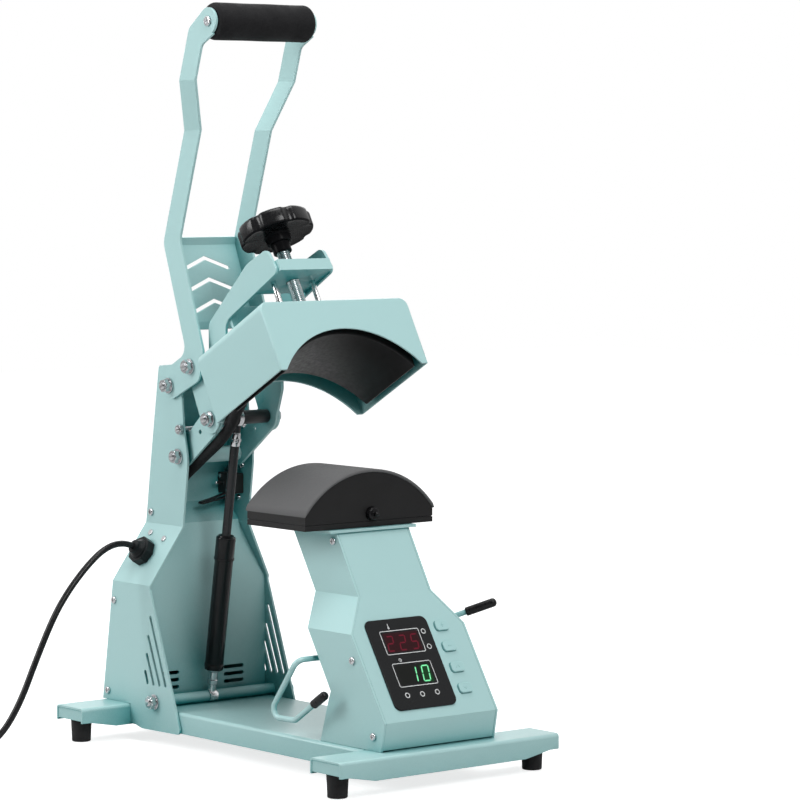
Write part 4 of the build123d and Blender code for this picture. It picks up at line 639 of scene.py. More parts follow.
# Small screws in the limit switch's case, its mounting screws and its terminals
CASE_SCREW = [(0, 1.4), (1.6, 1.3), (2.3, 0.8), (2.5, 0.0), (0, 0.0)]
MOUNTING_SCREW = [(0, 2.6), (2.0, 2.5), (3.0, 1.9), (3.5, 0.6), (3.5, 0.0), (0, 0.0)]
TERMINAL = (4.6, 0.9, 6.0)
bm = bmesh.new()
for off in (-10.5, 10.5):
    join_in(bm, lathe(CASE_SCREW, 24),
            axes_at(SWITCH_MIDDLE + Vector((-6.5, off, 7.5)), (-1, 0, 0), (0, 1, 0)))
for at in ((43.0, 157.9, 297.0), (43.0, 164.6, 260.6)):
    join_in(bm, lathe(MOUNTING_SCREW, 28), axes_at(at, (-1, 0, 0), (0, 1, 0)))
for off in (-9, 0, 9):
    place = Matrix.Translation(SWITCH_MIDDLE + Vector((0, off, 14)))
    bmesh.ops.create_cube(bm, size=1.0, matrix=place @ Matrix.Diagonal((*TERMINAL, 1.0)))
mesh_piece("limit_switch_fittings", bm, bright_zinc, "frame")


# ---------------------------------------------------------------------------
# Pivot bolts
# Zinc plated bolts through both sheets, each with a washer and a chamfered nut, the
# thread standing a few millimetres out of the nut.
# ---------------------------------------------------------------------------
def chamfered_nut(across_flats, height, bore):
    """Nut on Z from 0 to height with the chamfers of a cold-formed one."""
    part = bmesh.new()
    steps = 72
    inner = across_flats / 2
    corner = across_flats / math.sqrt(3)
    drop = 0.42 * (corner - inner)
    face_reach = 0.985 * inner
    chamfer_bow = 1.6              # how far the chamfer comes down at each corner
    rings = []
    for level, face in ((0.0, True), (drop, False), (height - drop, False), (height, True)):
        ring = []
        for i in range(steps):
            angle = 2 * math.pi * i / steps
            reach, lift = face_reach, 0.0
            if not face:
                reach = inner / math.cos((angle + math.pi / 6) % (math.pi / 3) - math.pi / 6)
                cut = (reach - inner) / (corner - inner)
                lift = (0.5 - level / height) * drop * cut * chamfer_bow
            ring.append(part.verts.new((reach * math.cos(angle), reach * math.sin(angle),
                                        level + lift)))
        rings.append(ring)
    for radius, level in ((bore + 0.5, height), (bore, height - 0.5), (bore, 0.5),
                          (bore + 0.5, 0.0)):
        rings.append(circle(part, radius, level, steps))
    skin(part, rings, closed=True)
    return part


def threaded_rod(radius, pitch, start, end, depth=0.55, steps=36, tip=True):
    """Rod on Z whose surface is one helical thread; with a tip its far end is domed."""
    part = bmesh.new()
    rows_a_turn = 6
    flank = 1.15                   # over 1, the groove's sides leave a flat crest
    run_out = 0.8 * pitch          # the thread fades over this length to a tip
    rows = []
    count = max(2, int(round((end - start) / pitch * rows_a_turn)))
    for row in range(count + 1):
        height = start + (end - start) * row / count
        full = min(1.0, (end - height) / run_out) if tip else 1.0
        ring = []
        for i in range(steps):
            phase = (height / pitch - i / steps) % 1.0
            wave = abs(phase * 2 - 1)
            r = radius - depth * max(1 - wave * flank, 0.0) - (1 - full) * depth
            ring.append(part.verts.new((r * math.cos(2 * math.pi * i / steps),
                                        r * math.sin(2 * math.pi * i / steps), height)))
        rows.append(ring)
    skin(part, rows)
    for ring, height in ((rows[0], start), (rows[-1], end + (0.5 if tip else 0.0))):
        middle = part.verts.new((0, 0, height))
        for i in range(steps):
            part.faces.new((ring[i], ring[(i + 1) % steps], middle))
    return part


def washer(outer, bore, thick, edge=0.25):
    """Flat washer on Z from 0 to thick, with rounded outer edges."""
    return lathe([(bore, 0), (outer - edge, 0), (outer, edge), (outer, thick - edge),
                  (outer - edge, thick), (bore, thick)], 48, closed=True)


BOLT_PITCH = 1.25


def bolt_end(bm, at, face, side, nut=(13.0, 6.5), out=2.0, washer_size=(17.0, 1.6),
             bolt_radius=4.0, turn=0.0):
    """Washer, nut and threaded end outside a sheet whose face is at x = side * face.
    Sizes are (across flats, height) of the nut and (diameter, thickness) of the washer."""
    place = axes_at((side * face, *at), (side, 0, 0), (0, 0, 1)) @ Matrix.Rotation(turn, 4, "Z")
    level = 0.0
    if washer_size:
        join_in(bm, washer(washer_size[0] / 2, bolt_radius + 0.15, washer_size[1]), place)
        level = washer_size[1]
    join_in(bm, chamfered_nut(nut[0], nut[1], bolt_radius - 0.3),
            place @ Matrix.Translation((0, 0, level)))
    join_in(bm, threaded_rod(bolt_radius - 0.12, BOLT_PITCH, level - 0.2, level + nut[1] + out,
                             0.5), place)


def plain_bar(radius, start, end, edge=0.3):
    """Round bar on Z with chamfered ends."""
    return lathe([(0, start), (radius - edge, start), (radius, start + edge),
                  (radius, end - edge), (radius - edge, end), (0, end)], 32)


ARM_PIVOT = (156.7, 311.2)
HANDLE_PIVOT = (168.5, 388.0)
SPRING_FOOT = (152.5, 46.3)
STOP_PLACE = (150.5, 341.0)
PIVOT_BAR_RADIUS = 3.95
STOP_BAR_RADIUS = 3.0
# Outer faces of the sheets that the nuts bear on, from the middle
TOWER_FACE = 45.5
HANDLE_FACE = 49.3
FOOT_FACE = 81.5

bm = bmesh.new()
for at, face, turn in ((ARM_PIVOT, TOWER_FACE, 0.2), (HANDLE_PIVOT, HANDLE_FACE, 0.5),
                       (SPRING_FOOT, FOOT_FACE, 0.1)):
    for side in (-1, 1):
        bolt_end(bm, at, face, side, turn=turn + 0.3 * side)
    join_in(bm, plain_bar(PIVOT_BAR_RADIUS, -face - 1, face + 1),
            axes_at((0, *at), (1, 0, 0), (0, 0, 1)))
pivot_hardware = mesh_piece("pivot_nuts_and_bolts", bm, bright_zinc, "frame", 24)
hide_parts("pivot_bolts")

bm = bmesh.new()
for side in (-1, 1):
    bolt_end(bm, STOP_PLACE, TOWER_FACE, side, nut=(10.0, 5.0), washer_size=None,
             bolt_radius=STOP_BAR_RADIUS, turn=0.15 * side)
join_in(bm, plain_bar(STOP_BAR_RADIUS, -TOWER_FACE - 0.5, TOWER_FACE + 0.5),
        axes_at((0, *STOP_PLACE), (1, 0, 0), (0, 0, 1)))
stop_hardware = mesh_piece("stop_rod_and_nuts", bm, bright_zinc, "frame", 24)
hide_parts("stop_rod")
finished(mint_coat, 0.6, "spring_sleeves")


# ---------------------------------------------------------------------------
# Gas spring
# Black painted cylinder with a rolled collar, a dark hardened rod, and plated end
# fittings that turn on the bolts of the frame and of the arm.
# ---------------------------------------------------------------------------
SPRING_WAY = Vector((0.0, -0.157491, 0.98752))
SPRING_START = Vector((-5.0, *SPRING_FOOT))
SPRING_LENGTH = 312.4
cylinder_paint = part_metal(
    "spring_cylinder_paint", (0.011, 0.012, 0.013), 0.17,
    lambda tree: between(tree, along(tree, SPRING_START, SPRING_WAY), -20, 28))
rod_finish = part_metal(
    "spring_rod_finish", (0.03, 0.031, 0.033), 0.2,
    lambda tree: between(tree, along(tree, SPRING_START, SPRING_WAY), 281, 296))
finished(cylinder_paint, 0.4, "gas_cylinder")
finished(rod_finish, 0.4, "gas_rod")

spring_axes = axes_at(SPRING_START, SPRING_WAY, (1, 0, 0))
bm = bmesh.new()
turned(bm, [(10.2, 153.2), (11.15, 153.8), (11.3, 155.0), (11.15, 156.2), (10.2, 156.8)],
       closed=True)
turned(bm, [(10.2, 31.0), (10.6, 31.6), (10.75, 34.0), (10.6, 36.4), (10.2, 37.0)], closed=True)
turned(bm, [(6.25, 179.3), (8.6, 179.3), (9.0, 179.8), (8.6, 180.9), (6.25, 181.1)], closed=True)
mesh_piece("cylinder_collars", bm, rocker_gloss, "spring_cylinder", 40,
           place=spring_axes)

bm = bmesh.new()
turned(bm, [(3.6, 12.5), (5.4, 12.9), (6.0, 13.6), (6.0, 18.0), (5.2, 18.8), (5.2, 26.6),
            (6.4, 27.4), (7.4, 28.6), (7.6, 30.3), (3.6, 30.3)], closed=True)
mesh_piece("cylinder_foot_fitting", bm, bright_zinc, "spring_cylinder", 40,
           place=spring_axes)

bm = bmesh.new()
turned(bm, [(4.9, 280.8), (5.5, 281.2), (5.7, 282.0), (5.7, 294.2), (5.4, 295.4), (4.9, 295.8)],
       closed=True)
join_in(bm, chamfered_nut(11.4, 4.0, 4.9), Matrix.Translation((0, 0, 285.4)))
CLIP = [(9.05, -3.0), (9.65, -2.7), (9.75, 0.0), (9.65, 2.7), (9.05, 3.0)]
join_in(bm, lathe(CLIP, 48, closed=True),
        Matrix.Translation((0, 0, SPRING_LENGTH)) @ Matrix.Rotation(math.pi / 2, 4, "Y"))
mesh_piece("rod_end_fitting", bm, bright_zinc, "spring_rod", 30,
           place=spring_axes)


# ---------------------------------------------------------------------------
# Handle
# Two cranked arms and the slotted web between them, in powder coated plate. The
# web is welded along the arms' rear edges.
# ---------------------------------------------------------------------------
finished(mint_coat, 0.55, "handle_arm_left", "handle_arm_right", "handle_web")


# ---------------------------------------------------------------------------
# Grip
# Closed-cell foam sleeve, black, pushed over a steel tube; a round-headed screw at
# each end holds the tube between the arms.
# ---------------------------------------------------------------------------
GRIP_AT = (0.0, 69.0, 779.0)
FOAM_RADIUS = 20.0
FOAM_HALF = 64.3
FOAM_BORE = 12.6
FOAM_ROUND = 6.5                   # radius of the sleeve's rounded ends
foam_paint, foam_tree, foam_shader = paint_named("closed_cell_foam")
pores = cells(foam_tree, 1150)
pore_shade = spread(foam_tree, pores, 0.0, 1.0, 0.1, 0.65)
foam_tree.links.new(mixed(foam_tree, pore_shade, (0.014, 0.014, 0.015), (0.005, 0.005, 0.006)),
                    foam_shader.inputs["Base Color"])
foam_tree.links.new(spread(foam_tree, grain(foam_tree, 60, 3), 0.62, 0.8, 0.3, 0.7),
                    foam_shader.inputs["Roughness"])
foam_shader.inputs["Specular IOR Level"].default_value = 0.2
relief(foam_tree, foam_shader, pores, 0.0003, 0.7)

foam_end = [(FOAM_BORE, -FOAM_HALF + 0.6), (FOAM_BORE + 0.7, -FOAM_HALF)]
for i in range(9):
    angle = math.pi / 2 * i / 8
    foam_end.append((FOAM_RADIUS - FOAM_ROUND + FOAM_ROUND * math.sin(angle),
                     -FOAM_HALF + FOAM_ROUND - FOAM_ROUND * math.cos(angle)))
foam_side = []
for i in range(1, 24):
    level = (FOAM_HALF - FOAM_ROUND) * (i / 12 - 1)
    foam_side.append((FOAM_RADIUS + 0.10 * math.sin(0.11 * level + 0.6) - 0.14, level))
foam_profile = foam_end + foam_side + [(r, -h) for r, h in reversed(foam_end)]
bm = bmesh.new()
turned(bm, foam_profile, 72, closed=True)
foam_sleeve = mesh_piece("foam_sleeve", bm, foam_paint, "handle", 60,
                         place=axes_at(GRIP_AT, (1, 0, 0), (0, 0, 1)))
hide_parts("grip_foam")
finished(bright_zinc, 0.3, "grip_tube", "grip_screws")


# ---------------------------------------------------------------------------
# Toggle links
# Slotted plates that pull the arm over centre. Their bolts turn in a spacer and are
# held by a nut outside each handle arm.
# ---------------------------------------------------------------------------
finished(mint_coat, 0.55, "toggle_links")

TOGGLE_PIVOT = (130.0, 410.5)
TOGGLE_FACE = 49.0
# The bolt's inner end: its tail, the spacer that it turns in and the shank through the arm
toggle_bolt = [(0, 38.7), (2.7, 38.7), (3.0, 39.0), (3.0, 39.7), (4.0, 39.7), (4.0, 42.15),
               (6.2, 42.15), (6.5, 42.45), (6.5, 45.7), (6.2, 46.0), (4.0, 46.0),
               (4.0, 50.5), (0, 50.5)]
bm = bmesh.new()
for side in (-1, 1):
    bolt_end(bm, TOGGLE_PIVOT, TOGGLE_FACE, side, turn=0.35 * side)
    join_in(bm, lathe(toggle_bolt, 48), axes_at((0, *TOGGLE_PIVOT), (side, 0, 0), (0, 0, 1)))
toggle_hardware = mesh_piece("toggle_nuts_and_bolts", bm, bright_zinc, "handle",
                             24)
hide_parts("toggle_bolts")


# ---------------------------------------------------------------------------
# Head arm
# Two elbow plates joined by a web and the thick nut plate, all powder coated, with
# a pivot tube below and black sleeves each side of the gas spring.
# ---------------------------------------------------------------------------
finished(mint_coat, 0.55, "arm_plate_left", "arm_plate_right", "arm_web", "nut_plate")

spacer_paint, spacer_tree, spacer_shader = paint_named("pivot_tube_and_sleeves")
TUBE_TOP = (0, 0, 335)             # the mint tube lies below this, the black sleeves above
upper = spread(spacer_tree, along(spacer_tree, TUBE_TOP, (0, 0, 1)), 0, 1, -0.001, 0.001)
tube_tone = mixed(spacer_tree, grain(spacer_tree, 60, 3), MINT, MINT_PALE)
sleeve_tone = mixed(spacer_tree, grain(spacer_tree, 60, 3), (0.010, 0.010, 0.011),
                    (0.016, 0.016, 0.017))
spacer_tree.links.new(mixed(spacer_tree, upper, tube_tone, sleeve_tone),
                      spacer_shader.inputs["Base Color"])
spacer_tree.links.new(spread(spacer_tree, grain(spacer_tree, 420, 3), 0.3, 0.44, 0.3, 0.7),
                      spacer_shader.inputs["Roughness"])
relief(spacer_tree, spacer_shader, grain(spacer_tree, 820, 2), 0.00006)
finished(spacer_paint, 1.2, "arm_spacers")

SPRING_PIVOT = (103.3, 354.8)
ARM_FACE = 42.1
bm = bmesh.new()
for side in (-1, 1):
    bolt_end(bm, SPRING_PIVOT, ARM_FACE, side, turn=0.45 * side)
join_in(bm, plain_bar(PIVOT_BAR_RADIUS, -ARM_FACE - 0.9, ARM_FACE + 0.9),
        axes_at((0, *SPRING_PIVOT), (1, 0, 0), (0, 0, 1)))
arm_pin = mesh_piece("arm_pin_nuts_and_bolt", bm, bright_zinc, "arm", 24)
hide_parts("arm_pin_bolt")

# Braided glass sleeve over the heater's leads, from the tower along the arm's inner side
HEATER_SLEEVE_D = 12.0
heater_route = [(-36.3, 172.0, 240.0), (-36.3, 171.5, 262.0), (-35.0, 165.0, 286.0),
                (-29.5, 149.0, 300.0), (-28.5, 129.0, 314.0), (-28.5, 104.0, 329.5),
                (-28.5, 84.0, 347.0), (-28.5, 72.0, 366.0), (-28.5, 50.5, 388.7),
                (-28.5, 38.3, 395.4)]
sleeve_paint, sleeve_tree, sleeve_shader = paint_named("braided_sleeve")
braid = cells(sleeve_tree, 900)
sleeve_tree.links.new(mixed(sleeve_tree, braid, (0.017, 0.017, 0.018), (0.005, 0.005, 0.006)),
                      sleeve_shader.inputs["Base Color"])
sleeve_tree.links.new(spread(sleeve_tree, grain(sleeve_tree, 300, 3), 0.55, 0.75, 0.3, 0.7),
                      sleeve_shader.inputs["Roughness"])
sleeve_shader.inputs["Specular IOR Level"].default_value = 0.2
relief(sleeve_tree, sleeve_shader, braid, 0.0004)
heater_data = round_tube("heater_sleeve", heater_route, HEATER_SLEEVE_D, 10, 6)
heater_data.use_fill_caps = True
heater_run = bpy.data.objects.new("heater_run", heater_data)
bpy.context.scene.collection.objects.link(heater_run)
heater_mesh = bpy.data.meshes.new_from_object(heater_run)
bpy.data.objects.remove(heater_run)
for face in heater_mesh.polygons:
    face.use_smooth = True
heater_mesh.materials.clear()
heater_mesh.materials.append(sleeve_paint)
heater_sleeve = bpy.data.objects.new("heater_sleeve", heater_mesh)
bpy.context.scene.collection.objects.link(heater_sleeve)
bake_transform(heater_sleeve)
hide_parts("heater_cable")


# ---------------------------------------------------------------------------
# Heating head
# Folded mint cover over a cast aluminium platen with a baked non-stick coating. A
# thrust plate with a cup carries the screw, between two polished guide rods.
# ---------------------------------------------------------------------------
finished(mint_coat, 0.5, "housing_shell", "thrust_plate")

platen_coating = moulded("baked_platen_coating", (0.014, 0.014, 0.0145), 0.38, 1300, 0.00003)
wool = moulded("mineral_wool", (0.62, 0.58, 0.46), 0.9, 600, 0.0006)
finished(platen_coating, 0.6, "heating_platen")
finished(wool, 0, "insulation_pad")
finished(bright_zinc, 0, "platen_studs")
finished(polished_steel, 0.4, "guide_rods")

HEAD_AT = (0, -95, 419)
HEAD_WAY = (0, 0.48481, 0.87462)
head_axes = axes_at(HEAD_AT, HEAD_WAY)
SCREW_T = 52.0                     # the screw's place along the head
ROD_X = 26.0
THRUST_FACE = 84.0                 # height of the thrust plate's upper face
ROD_SEAT = [(3.05, 0.0), (5.6, 0.0), (5.9, 0.4), (5.9, 2.6), (5.4, 3.2), (3.05, 3.2)]
PLATE_SCREW = [(0, 2.2), (2.6, 2.0), (3.6, 1.4), (4.0, 0.0), (0, 0.0)]
bm = bmesh.new()
for side in (-1, 1):
    join_in(bm, lathe(ROD_SEAT, closed=True),
            Matrix.Translation((side * ROD_X, SCREW_T, THRUST_FACE)))
for corner_x in (-36, 36):
    for corner_t in (SCREW_T - 19, SCREW_T + 19):
        join_in(bm, lathe(PLATE_SCREW, 28), Matrix.Translation((corner_x, corner_t, THRUST_FACE)))
mesh_piece("thrust_plate_screws", bm, bright_zinc, "head", 30, place=head_axes)


# ---------------------------------------------------------------------------
# Pressure screw and knob
# Zinc plated steel screw of 2 mm pitch through the nut plate, and a lobed hand knob
# moulded on it in black phenolic, with a stepped hub.
# ---------------------------------------------------------------------------
# Plated thread; painted shade darkens it down in its grooves, which are also rougher
SCREW_RADIUS = 6.98
SCREW_PITCH = 2.0
THREAD_DEPTH = 1.2
SCREW_ENDS = (85.5, 170.0)
thread_paint, thread_tree, thread_shader = paint_named("greased_thread")
# painted shade: ambient occlusion darkens the thread's grooves
groove = thread_tree.nodes.new("ShaderNodeAmbientOcclusion")
groove.inputs["Distance"].default_value = 0.0016
groove.samples = 8
groove_shade = spread(thread_tree, groove.outputs["AO"], 1.0, 0.0, 0.3, 0.65)
plated = mixed(thread_tree, grain(thread_tree, 300, 3), (0.68, 0.69, 0.70), (0.80, 0.81, 0.82))
thread_tree.links.new(mixed(thread_tree, groove_shade, plated, (0.05, 0.055, 0.055)),
                      thread_shader.inputs["Base Color"])
thread_shader.inputs["Metallic"].default_value = 1.0
thread_tree.links.new(spread(thread_tree, groove_shade, 0.18, 0.45), thread_shader.inputs["Roughness"])
relief(thread_tree, thread_shader, grain(thread_tree, 900, 2), 0.00001)
bm = bmesh.new()
join_in(bm, threaded_rod(SCREW_RADIUS, SCREW_PITCH, *SCREW_ENDS, THREAD_DEPTH, 40, tip=False),
        Matrix.Translation((0, SCREW_T, 0)))
screw_thread = mesh_piece("screw_thread", bm, thread_paint, "screw", 60,
                          place=head_axes)
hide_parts("pressure_screw")

bm = bmesh.new()
turned(bm, [(7.3, 138.8), (11.0, 138.8), (11.4, 139.2), (11.4, 143.2), (10.9, 143.8),
            (7.9, 143.8), (7.3, 143.2)], 48, closed=True)
mesh_piece("screw_bushing", bm, bright_zinc, "arm", 35,
           place=head_axes @ Matrix.Translation((0, SCREW_T, 0)))

knob_phenolic = moulded("knob_phenolic", (0.009, 0.009, 0.010), 0.24, 1200, 0.00002, 0.3)
knob_tree = knob_phenolic.node_tree
knob_shader = knob_tree.nodes["Principled BSDF"]
# Painted shade: less shine under the rim, so that its underside stays dark; the rim's edge is
# this far up the screw, in metres
RIM_EDGE = (0.1812, 0.1818)
knob_tree.links.new(spread(knob_tree, along(knob_tree, HEAD_AT, HEAD_WAY), 0.03, 0.3, *RIM_EDGE),
                    knob_shader.inputs["Specular IOR Level"])
KNOB_RADIUS = 40.3
FLUTES = 7
FLUTE_HALF = math.radians(8.5)
FLUTE_DEPTH = 2.6


def knob_reach(angle):
    """Radius of the rim: broad lobes with a hollow flute between each two."""
    pitch = 2 * math.pi / FLUTES
    off = abs((angle + pitch / 2) % pitch - pitch / 2)
    return KNOB_RADIUS - FLUTE_DEPTH * max(0.0, 1 - (off / FLUTE_HALF) ** 2)


# (share of the lobed rim, radius or inset from it, height), from the bore over the rim
knob_profile = [(0, 0.01, 171.0), (0, 7.05, 171.0), (0, 7.05, 160.6), (0, 7.3, 160.3),
                (0, 9.6, 160.3), (0, 10.1, 160.9), (0, 10.1, 170.6), (0, 12.6, 171.0),
                (0, 13.2, 171.8), (0, 13.8, 178.6), (0, 15.2, 180.2), (1, 9.0, 180.3),
                (1, 3.2, 179.8), (1, 1.5, 179.5), (1, 0.4, 179.9), (1, 0, 181.0),
                (1, 0, 193.4), (1, 0.4, 195.2), (1, 1.5, 196.9), (1, 3.2, 197.8),
                (1, 5.4, 198.0), (1, 12.0, 197.9), (0, 24.0, 197.6),
                (0, 22.0, 197.1), (0, 15.0, 197.1), (0, 13.6, 198.0), (0, 6.0, 198.4),
                (0, 0.01, 198.5)]
KNOB_STEPS = 24 * FLUTES
bm = bmesh.new()
rows = []
for lobed, reach, height in knob_profile:
    row = []
    for i in range(KNOB_STEPS):
        angle = 2 * math.pi * (i + 0.5) / KNOB_STEPS
        radius = knob_reach(angle) - reach if lobed else reach
        row.append(bm.verts.new((radius * math.cos(angle), radius * math.sin(angle), height)))
    rows.append(row)
skin(bm, rows)
bm.faces.new(rows[0])
bm.faces.new(rows[-1])
knob_body = mesh_piece("lobed_knob", bm, knob_phenolic, "screw", 26,
                       place=head_axes @ Matrix.Translation((0, SCREW_T, 0)))
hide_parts("pressure_knob")


# ---------------------------------------------------------------------------
# Control post
# Folded mint shell with a screwed front cover and the rail plate that the lower
# platen slides onto; the control board stands on pillars behind the cover.
# ---------------------------------------------------------------------------
finished(mint_coat, 0.45, "post_shell", "post_top_plate")
finished(mint_coat, 1.1, "post_front_panel")
board_lacquer = moulded("board_lacquer", (0.02, 0.13, 0.06), 0.35, 300, 0.0001)
finished(board_lacquer, 0, "control_board")


# ---------------------------------------------------------------------------
# Display
# Smoked glass over two read-outs: fine white frames, indicator rings and marks
# printed on it, a dim red temperature above and a green time below.
# ---------------------------------------------------------------------------
GLASS_FACE = 1.6
PANEL_AT = (0, -158.5, 187.7)
PANEL_WAY = (0, -0.8464, 0.5325)
PRINT_ROOT = -0.1                  # prints start this far down in the glass
panel_axes = axes_at(PANEL_AT, PANEL_WAY)
finished(moulded("smoked_glass", (0.008, 0.009, 0.010), 0.12, 1500, 0.000004), 0.25,
         "display_window")


def on_glass(x, down, height):
    """The point x across and down from the panel's top, height above the glass."""
    return (x, -down, GLASS_FACE + height)


def lit_print(name, colour, glow, gloss=0.4):
    """Ink or lit segment: slightly uneven colour with a glow of its own."""
    paint, tree, shader = paint_named(name)
    tone = mixed(tree, grain(tree, 500, 2), tuple(0.8 * channel for channel in colour), colour)
    tree.links.new(tone, shader.inputs["Base Color"])
    tree.links.new(tone, shader.inputs["Emission Color"])
    shader.inputs["Emission Strength"].default_value = glow
    shader.inputs["Roughness"].default_value = gloss
    shader.inputs["Specular IOR Level"].default_value = 0.15
    return paint


def printed_line(bm, points, wide, height=0.04, closed=False):
    """Adds a thin raised line along (x, down) points on the glass."""
    count = len(points)
    rows = []
    for i in range(count):
        here = Vector(points[i])
        before = Vector(points[(i - 1) % count] if closed or i else points[i])
        after = Vector(points[(i + 1) % count] if closed or i < count - 1 else points[i])
        first, second = here - before, after - here
        first = first.normalized() if first.length else second.normalized()
        second = second.normalized() if second.length else first
        way = (first + second).normalized()
        out = Vector((-way.y, way.x)) * (wide / 2 / max(0.5, way.dot(first)))
        rows.append([bm.verts.new(on_glass(*(here + s * out), h))
                     for s, h in ((-1, PRINT_ROOT), (1, PRINT_ROOT), (1, height), (-1, height))])
    skin(bm, rows, closed)
    if not closed:
        bm.faces.new(rows[0][::-1])
        bm.faces.new(rows[-1])


def round_corners(left, top, right, bottom, radius):
    """Points (x, down) round a rectangle with round corners."""
    points = []
    for x, down, start in ((right - radius, top + radius, -90),
                           (right - radius, bottom - radius, 0),
                           (left + radius, bottom - radius, 90),
                           (left + radius, top + radius, 180)):
        for i in range(5):
            angle = math.radians(start + 22.5 * i)
            points.append((x + radius * math.cos(angle), down + radius * math.sin(angle)))
    return points


def ring_points(x, down, radius, steps=24):
    """Points (x, down) round a circle."""
    return [(x + radius * math.cos(2 * math.pi * i / steps),
             down + radius * math.sin(2 * math.pi * i / steps)) for i in range(steps)]


FRAME_LINE = 0.75
LAMP_RADIUS = 2.5
LAMP_LINE = 0.9
bm = bmesh.new()
for frame_corners in ((-40.2, 41.6, 10.4, 67.6), (-39.6, 78.2, 10.4, 104.0)):
    printed_line(bm, round_corners(*frame_corners, 1.8), FRAME_LINE, closed=True)
for x, down in ((16.4, 45.6), (16.8, 63.0), (-34.5, 113.5), (-14.9, 113.9), (4.9, 113.6)):
    printed_line(bm, ring_points(x, down, LAMP_RADIUS), LAMP_LINE, closed=True)
# Thermometer and clock marks
printed_line(bm, ring_points(-26.6, 38.3, 0.95, 16), 0.7, closed=True)
printed_line(bm, [(-26.6, 37.4), (-26.6, 33.6)], 0.8)
printed_line(bm, ring_points(-27.0, 74.6, 1.7, 20), 0.5, closed=True)
printed_line(bm, [(-27.0, 73.4), (-27.0, 74.7), (-26.1, 75.1)], 0.45)
mesh_piece("display_print", bm, lit_print("white_print", (0.72, 0.74, 0.74), 0.06), "frame",
           30, place=panel_axes)

# Bars of a digit as (start, end) on a cell one wide and two high, top left at (0, 0)
BARS = {"top": ((0, 0), (1, 0)), "middle": ((0, 1), (1, 1)), "bottom": ((0, 2), (1, 2)),
        "upper_left": ((0, 0), (0, 1)), "upper_right": ((1, 0), (1, 1)),
        "lower_left": ((0, 1), (0, 2)), "lower_right": ((1, 1), (1, 2))}
DIGITS = {
    "0": ("top", "upper_left", "upper_right", "lower_left", "lower_right", "bottom"),
    "1": ("upper_right", "lower_right"),
    "2": ("top", "upper_right", "middle", "lower_left", "bottom"),
    "5": ("top", "upper_left", "middle", "lower_right", "bottom"),
}


def raised(bm, outline, height):
    """Adds a flat shape with that outline of (x, down) points, height above the glass."""
    rows = [[bm.verts.new(on_glass(*point, level)) for point in outline]
            for level in (PRINT_ROOT, height)]
    skin(bm, rows)
    bm.faces.new(rows[1])
    bm.faces.new(rows[0][::-1])


BAR_THICK = 1.5
BAR_GAP = 0.24
BAR_HEIGHT = 0.05


def lit_bars(bm, digit, x, down, wide, high, lean):
    """Adds the digit's bars, pointed at both ends, with its top left at (x, down)."""
    for bar in DIGITS[digit]:
        start, end = (Vector((x + across * wide - lean * row / 2, down + row * high / 2))
                      for across, row in BARS[bar])
        run = (end - start).normalized()
        side = Vector((-run.y, run.x)) * BAR_THICK / 2
        point = run * BAR_THICK / 2
        first, last = start + run * BAR_GAP, end - run * BAR_GAP
        raised(bm, [first, first + point + side, last - point + side, last,
                    last - point - side, first + point - side], BAR_HEIGHT)


def lit_piece(name, bm, paint):
    """Sets what is in bm, drawn on the glass, in its place as a piece."""
    mesh_piece(name, bm, paint, "frame", place=panel_axes)


def lit_field(name, paint, corners, height):
    """A lit or filtered field of the glass with those (left, top, right, bottom) edges."""
    bm = bmesh.new()
    raised(bm, round_corners(*corners, 0.8), height)
    lit_piece(name, bm, paint)


lit_field("temperature_field", lit_print("red_filter", (0.020, 0.0012, 0.003), 0.3, 0.3),
          (-37.4, 43.9, 7.8, 65.6), 0.02)
bm = bmesh.new()
for digit, x in (("2", -33.6), ("2", -17.6), ("5", -1.8)):
    lit_bars(bm, digit, x, 47.6, wide=7.6, high=16.2, lean=3.0)
lit_piece("temperature_digits", bm, lit_print("dim_red_bars", (0.105, 0.004, 0.014), 0.5))
lit_field("time_field", lit_print("green_filter", (0.004, 0.005, 0.004), 0.2, 0.3),
          (-37.0, 80.5, 7.8, 101.9), 0.015)
lit_field("time_cell", lit_print("green_glow", (0.002, 0.028, 0.006), 0.5, 0.3),
          (-6.2, 81.9, 6.6, 101.6), 0.025)
bm = bmesh.new()
for digit, x, wide in (("1", -20.0, 8.6), ("0", -3.3, 8.4)):
    lit_bars(bm, digit, x, 83.3, wide, high=16.8, lean=2.8)
lit_piece("time_digits", bm, lit_print("lit_green_bars", (0.16, 0.62, 0.30), 0.75))


# ---------------------------------------------------------------------------
# Keys
# Four soft-cornered keys moulded in the cover's colour, each with a low raised
# mark, pressed from behind onto the board's switches.
# ---------------------------------------------------------------------------
KEY_X = 43.0
KEY_FIRST = 41.4
KEY_PITCH = 23.8
KEY_FACE = 2.6
key_plastic = powder_coat("key_plastic", (0.38, 0.61, 0.61), (0.4, 0.632, 0.632), gloss=0.42)
finished(key_plastic, 0.5, "button_1", "button_2", "button_3", "button_4")
MARK_TALL = 0.5
MARK_WIDE = 0.8
# Strokes of each mark as (start, end) from the key's middle: plus, minus, up and down
KEY_MARKS = {1: [((-2.2, 0), (2.2, 0)), ((0, -2.2), (0, 2.2))], 2: [((-2.2, 0), (2.2, 0))],
             3: [((-2.4, -1.1), (0, 1.5)), ((0, 1.5), (2.4, -1.1))],
             4: [((-2.4, 1.1), (0, -1.5)), ((0, -1.5), (2.4, 1.1))]}
for number, marks in KEY_MARKS.items():
    bm = bmesh.new()
    down = KEY_FIRST + (number - 1) * KEY_PITCH
    for start, end in marks:
        strip(bm, [(KEY_X + start[0], -down + start[1], KEY_FACE + 0.02),
                   (KEY_X + end[0], -down + end[1], KEY_FACE + 0.02)],
              MARK_TALL, MARK_WIDE, (0, 0, 1))
    mesh_piece(f"key_mark_{number}", bm, key_plastic, f"key_{number}",
               place=panel_axes)


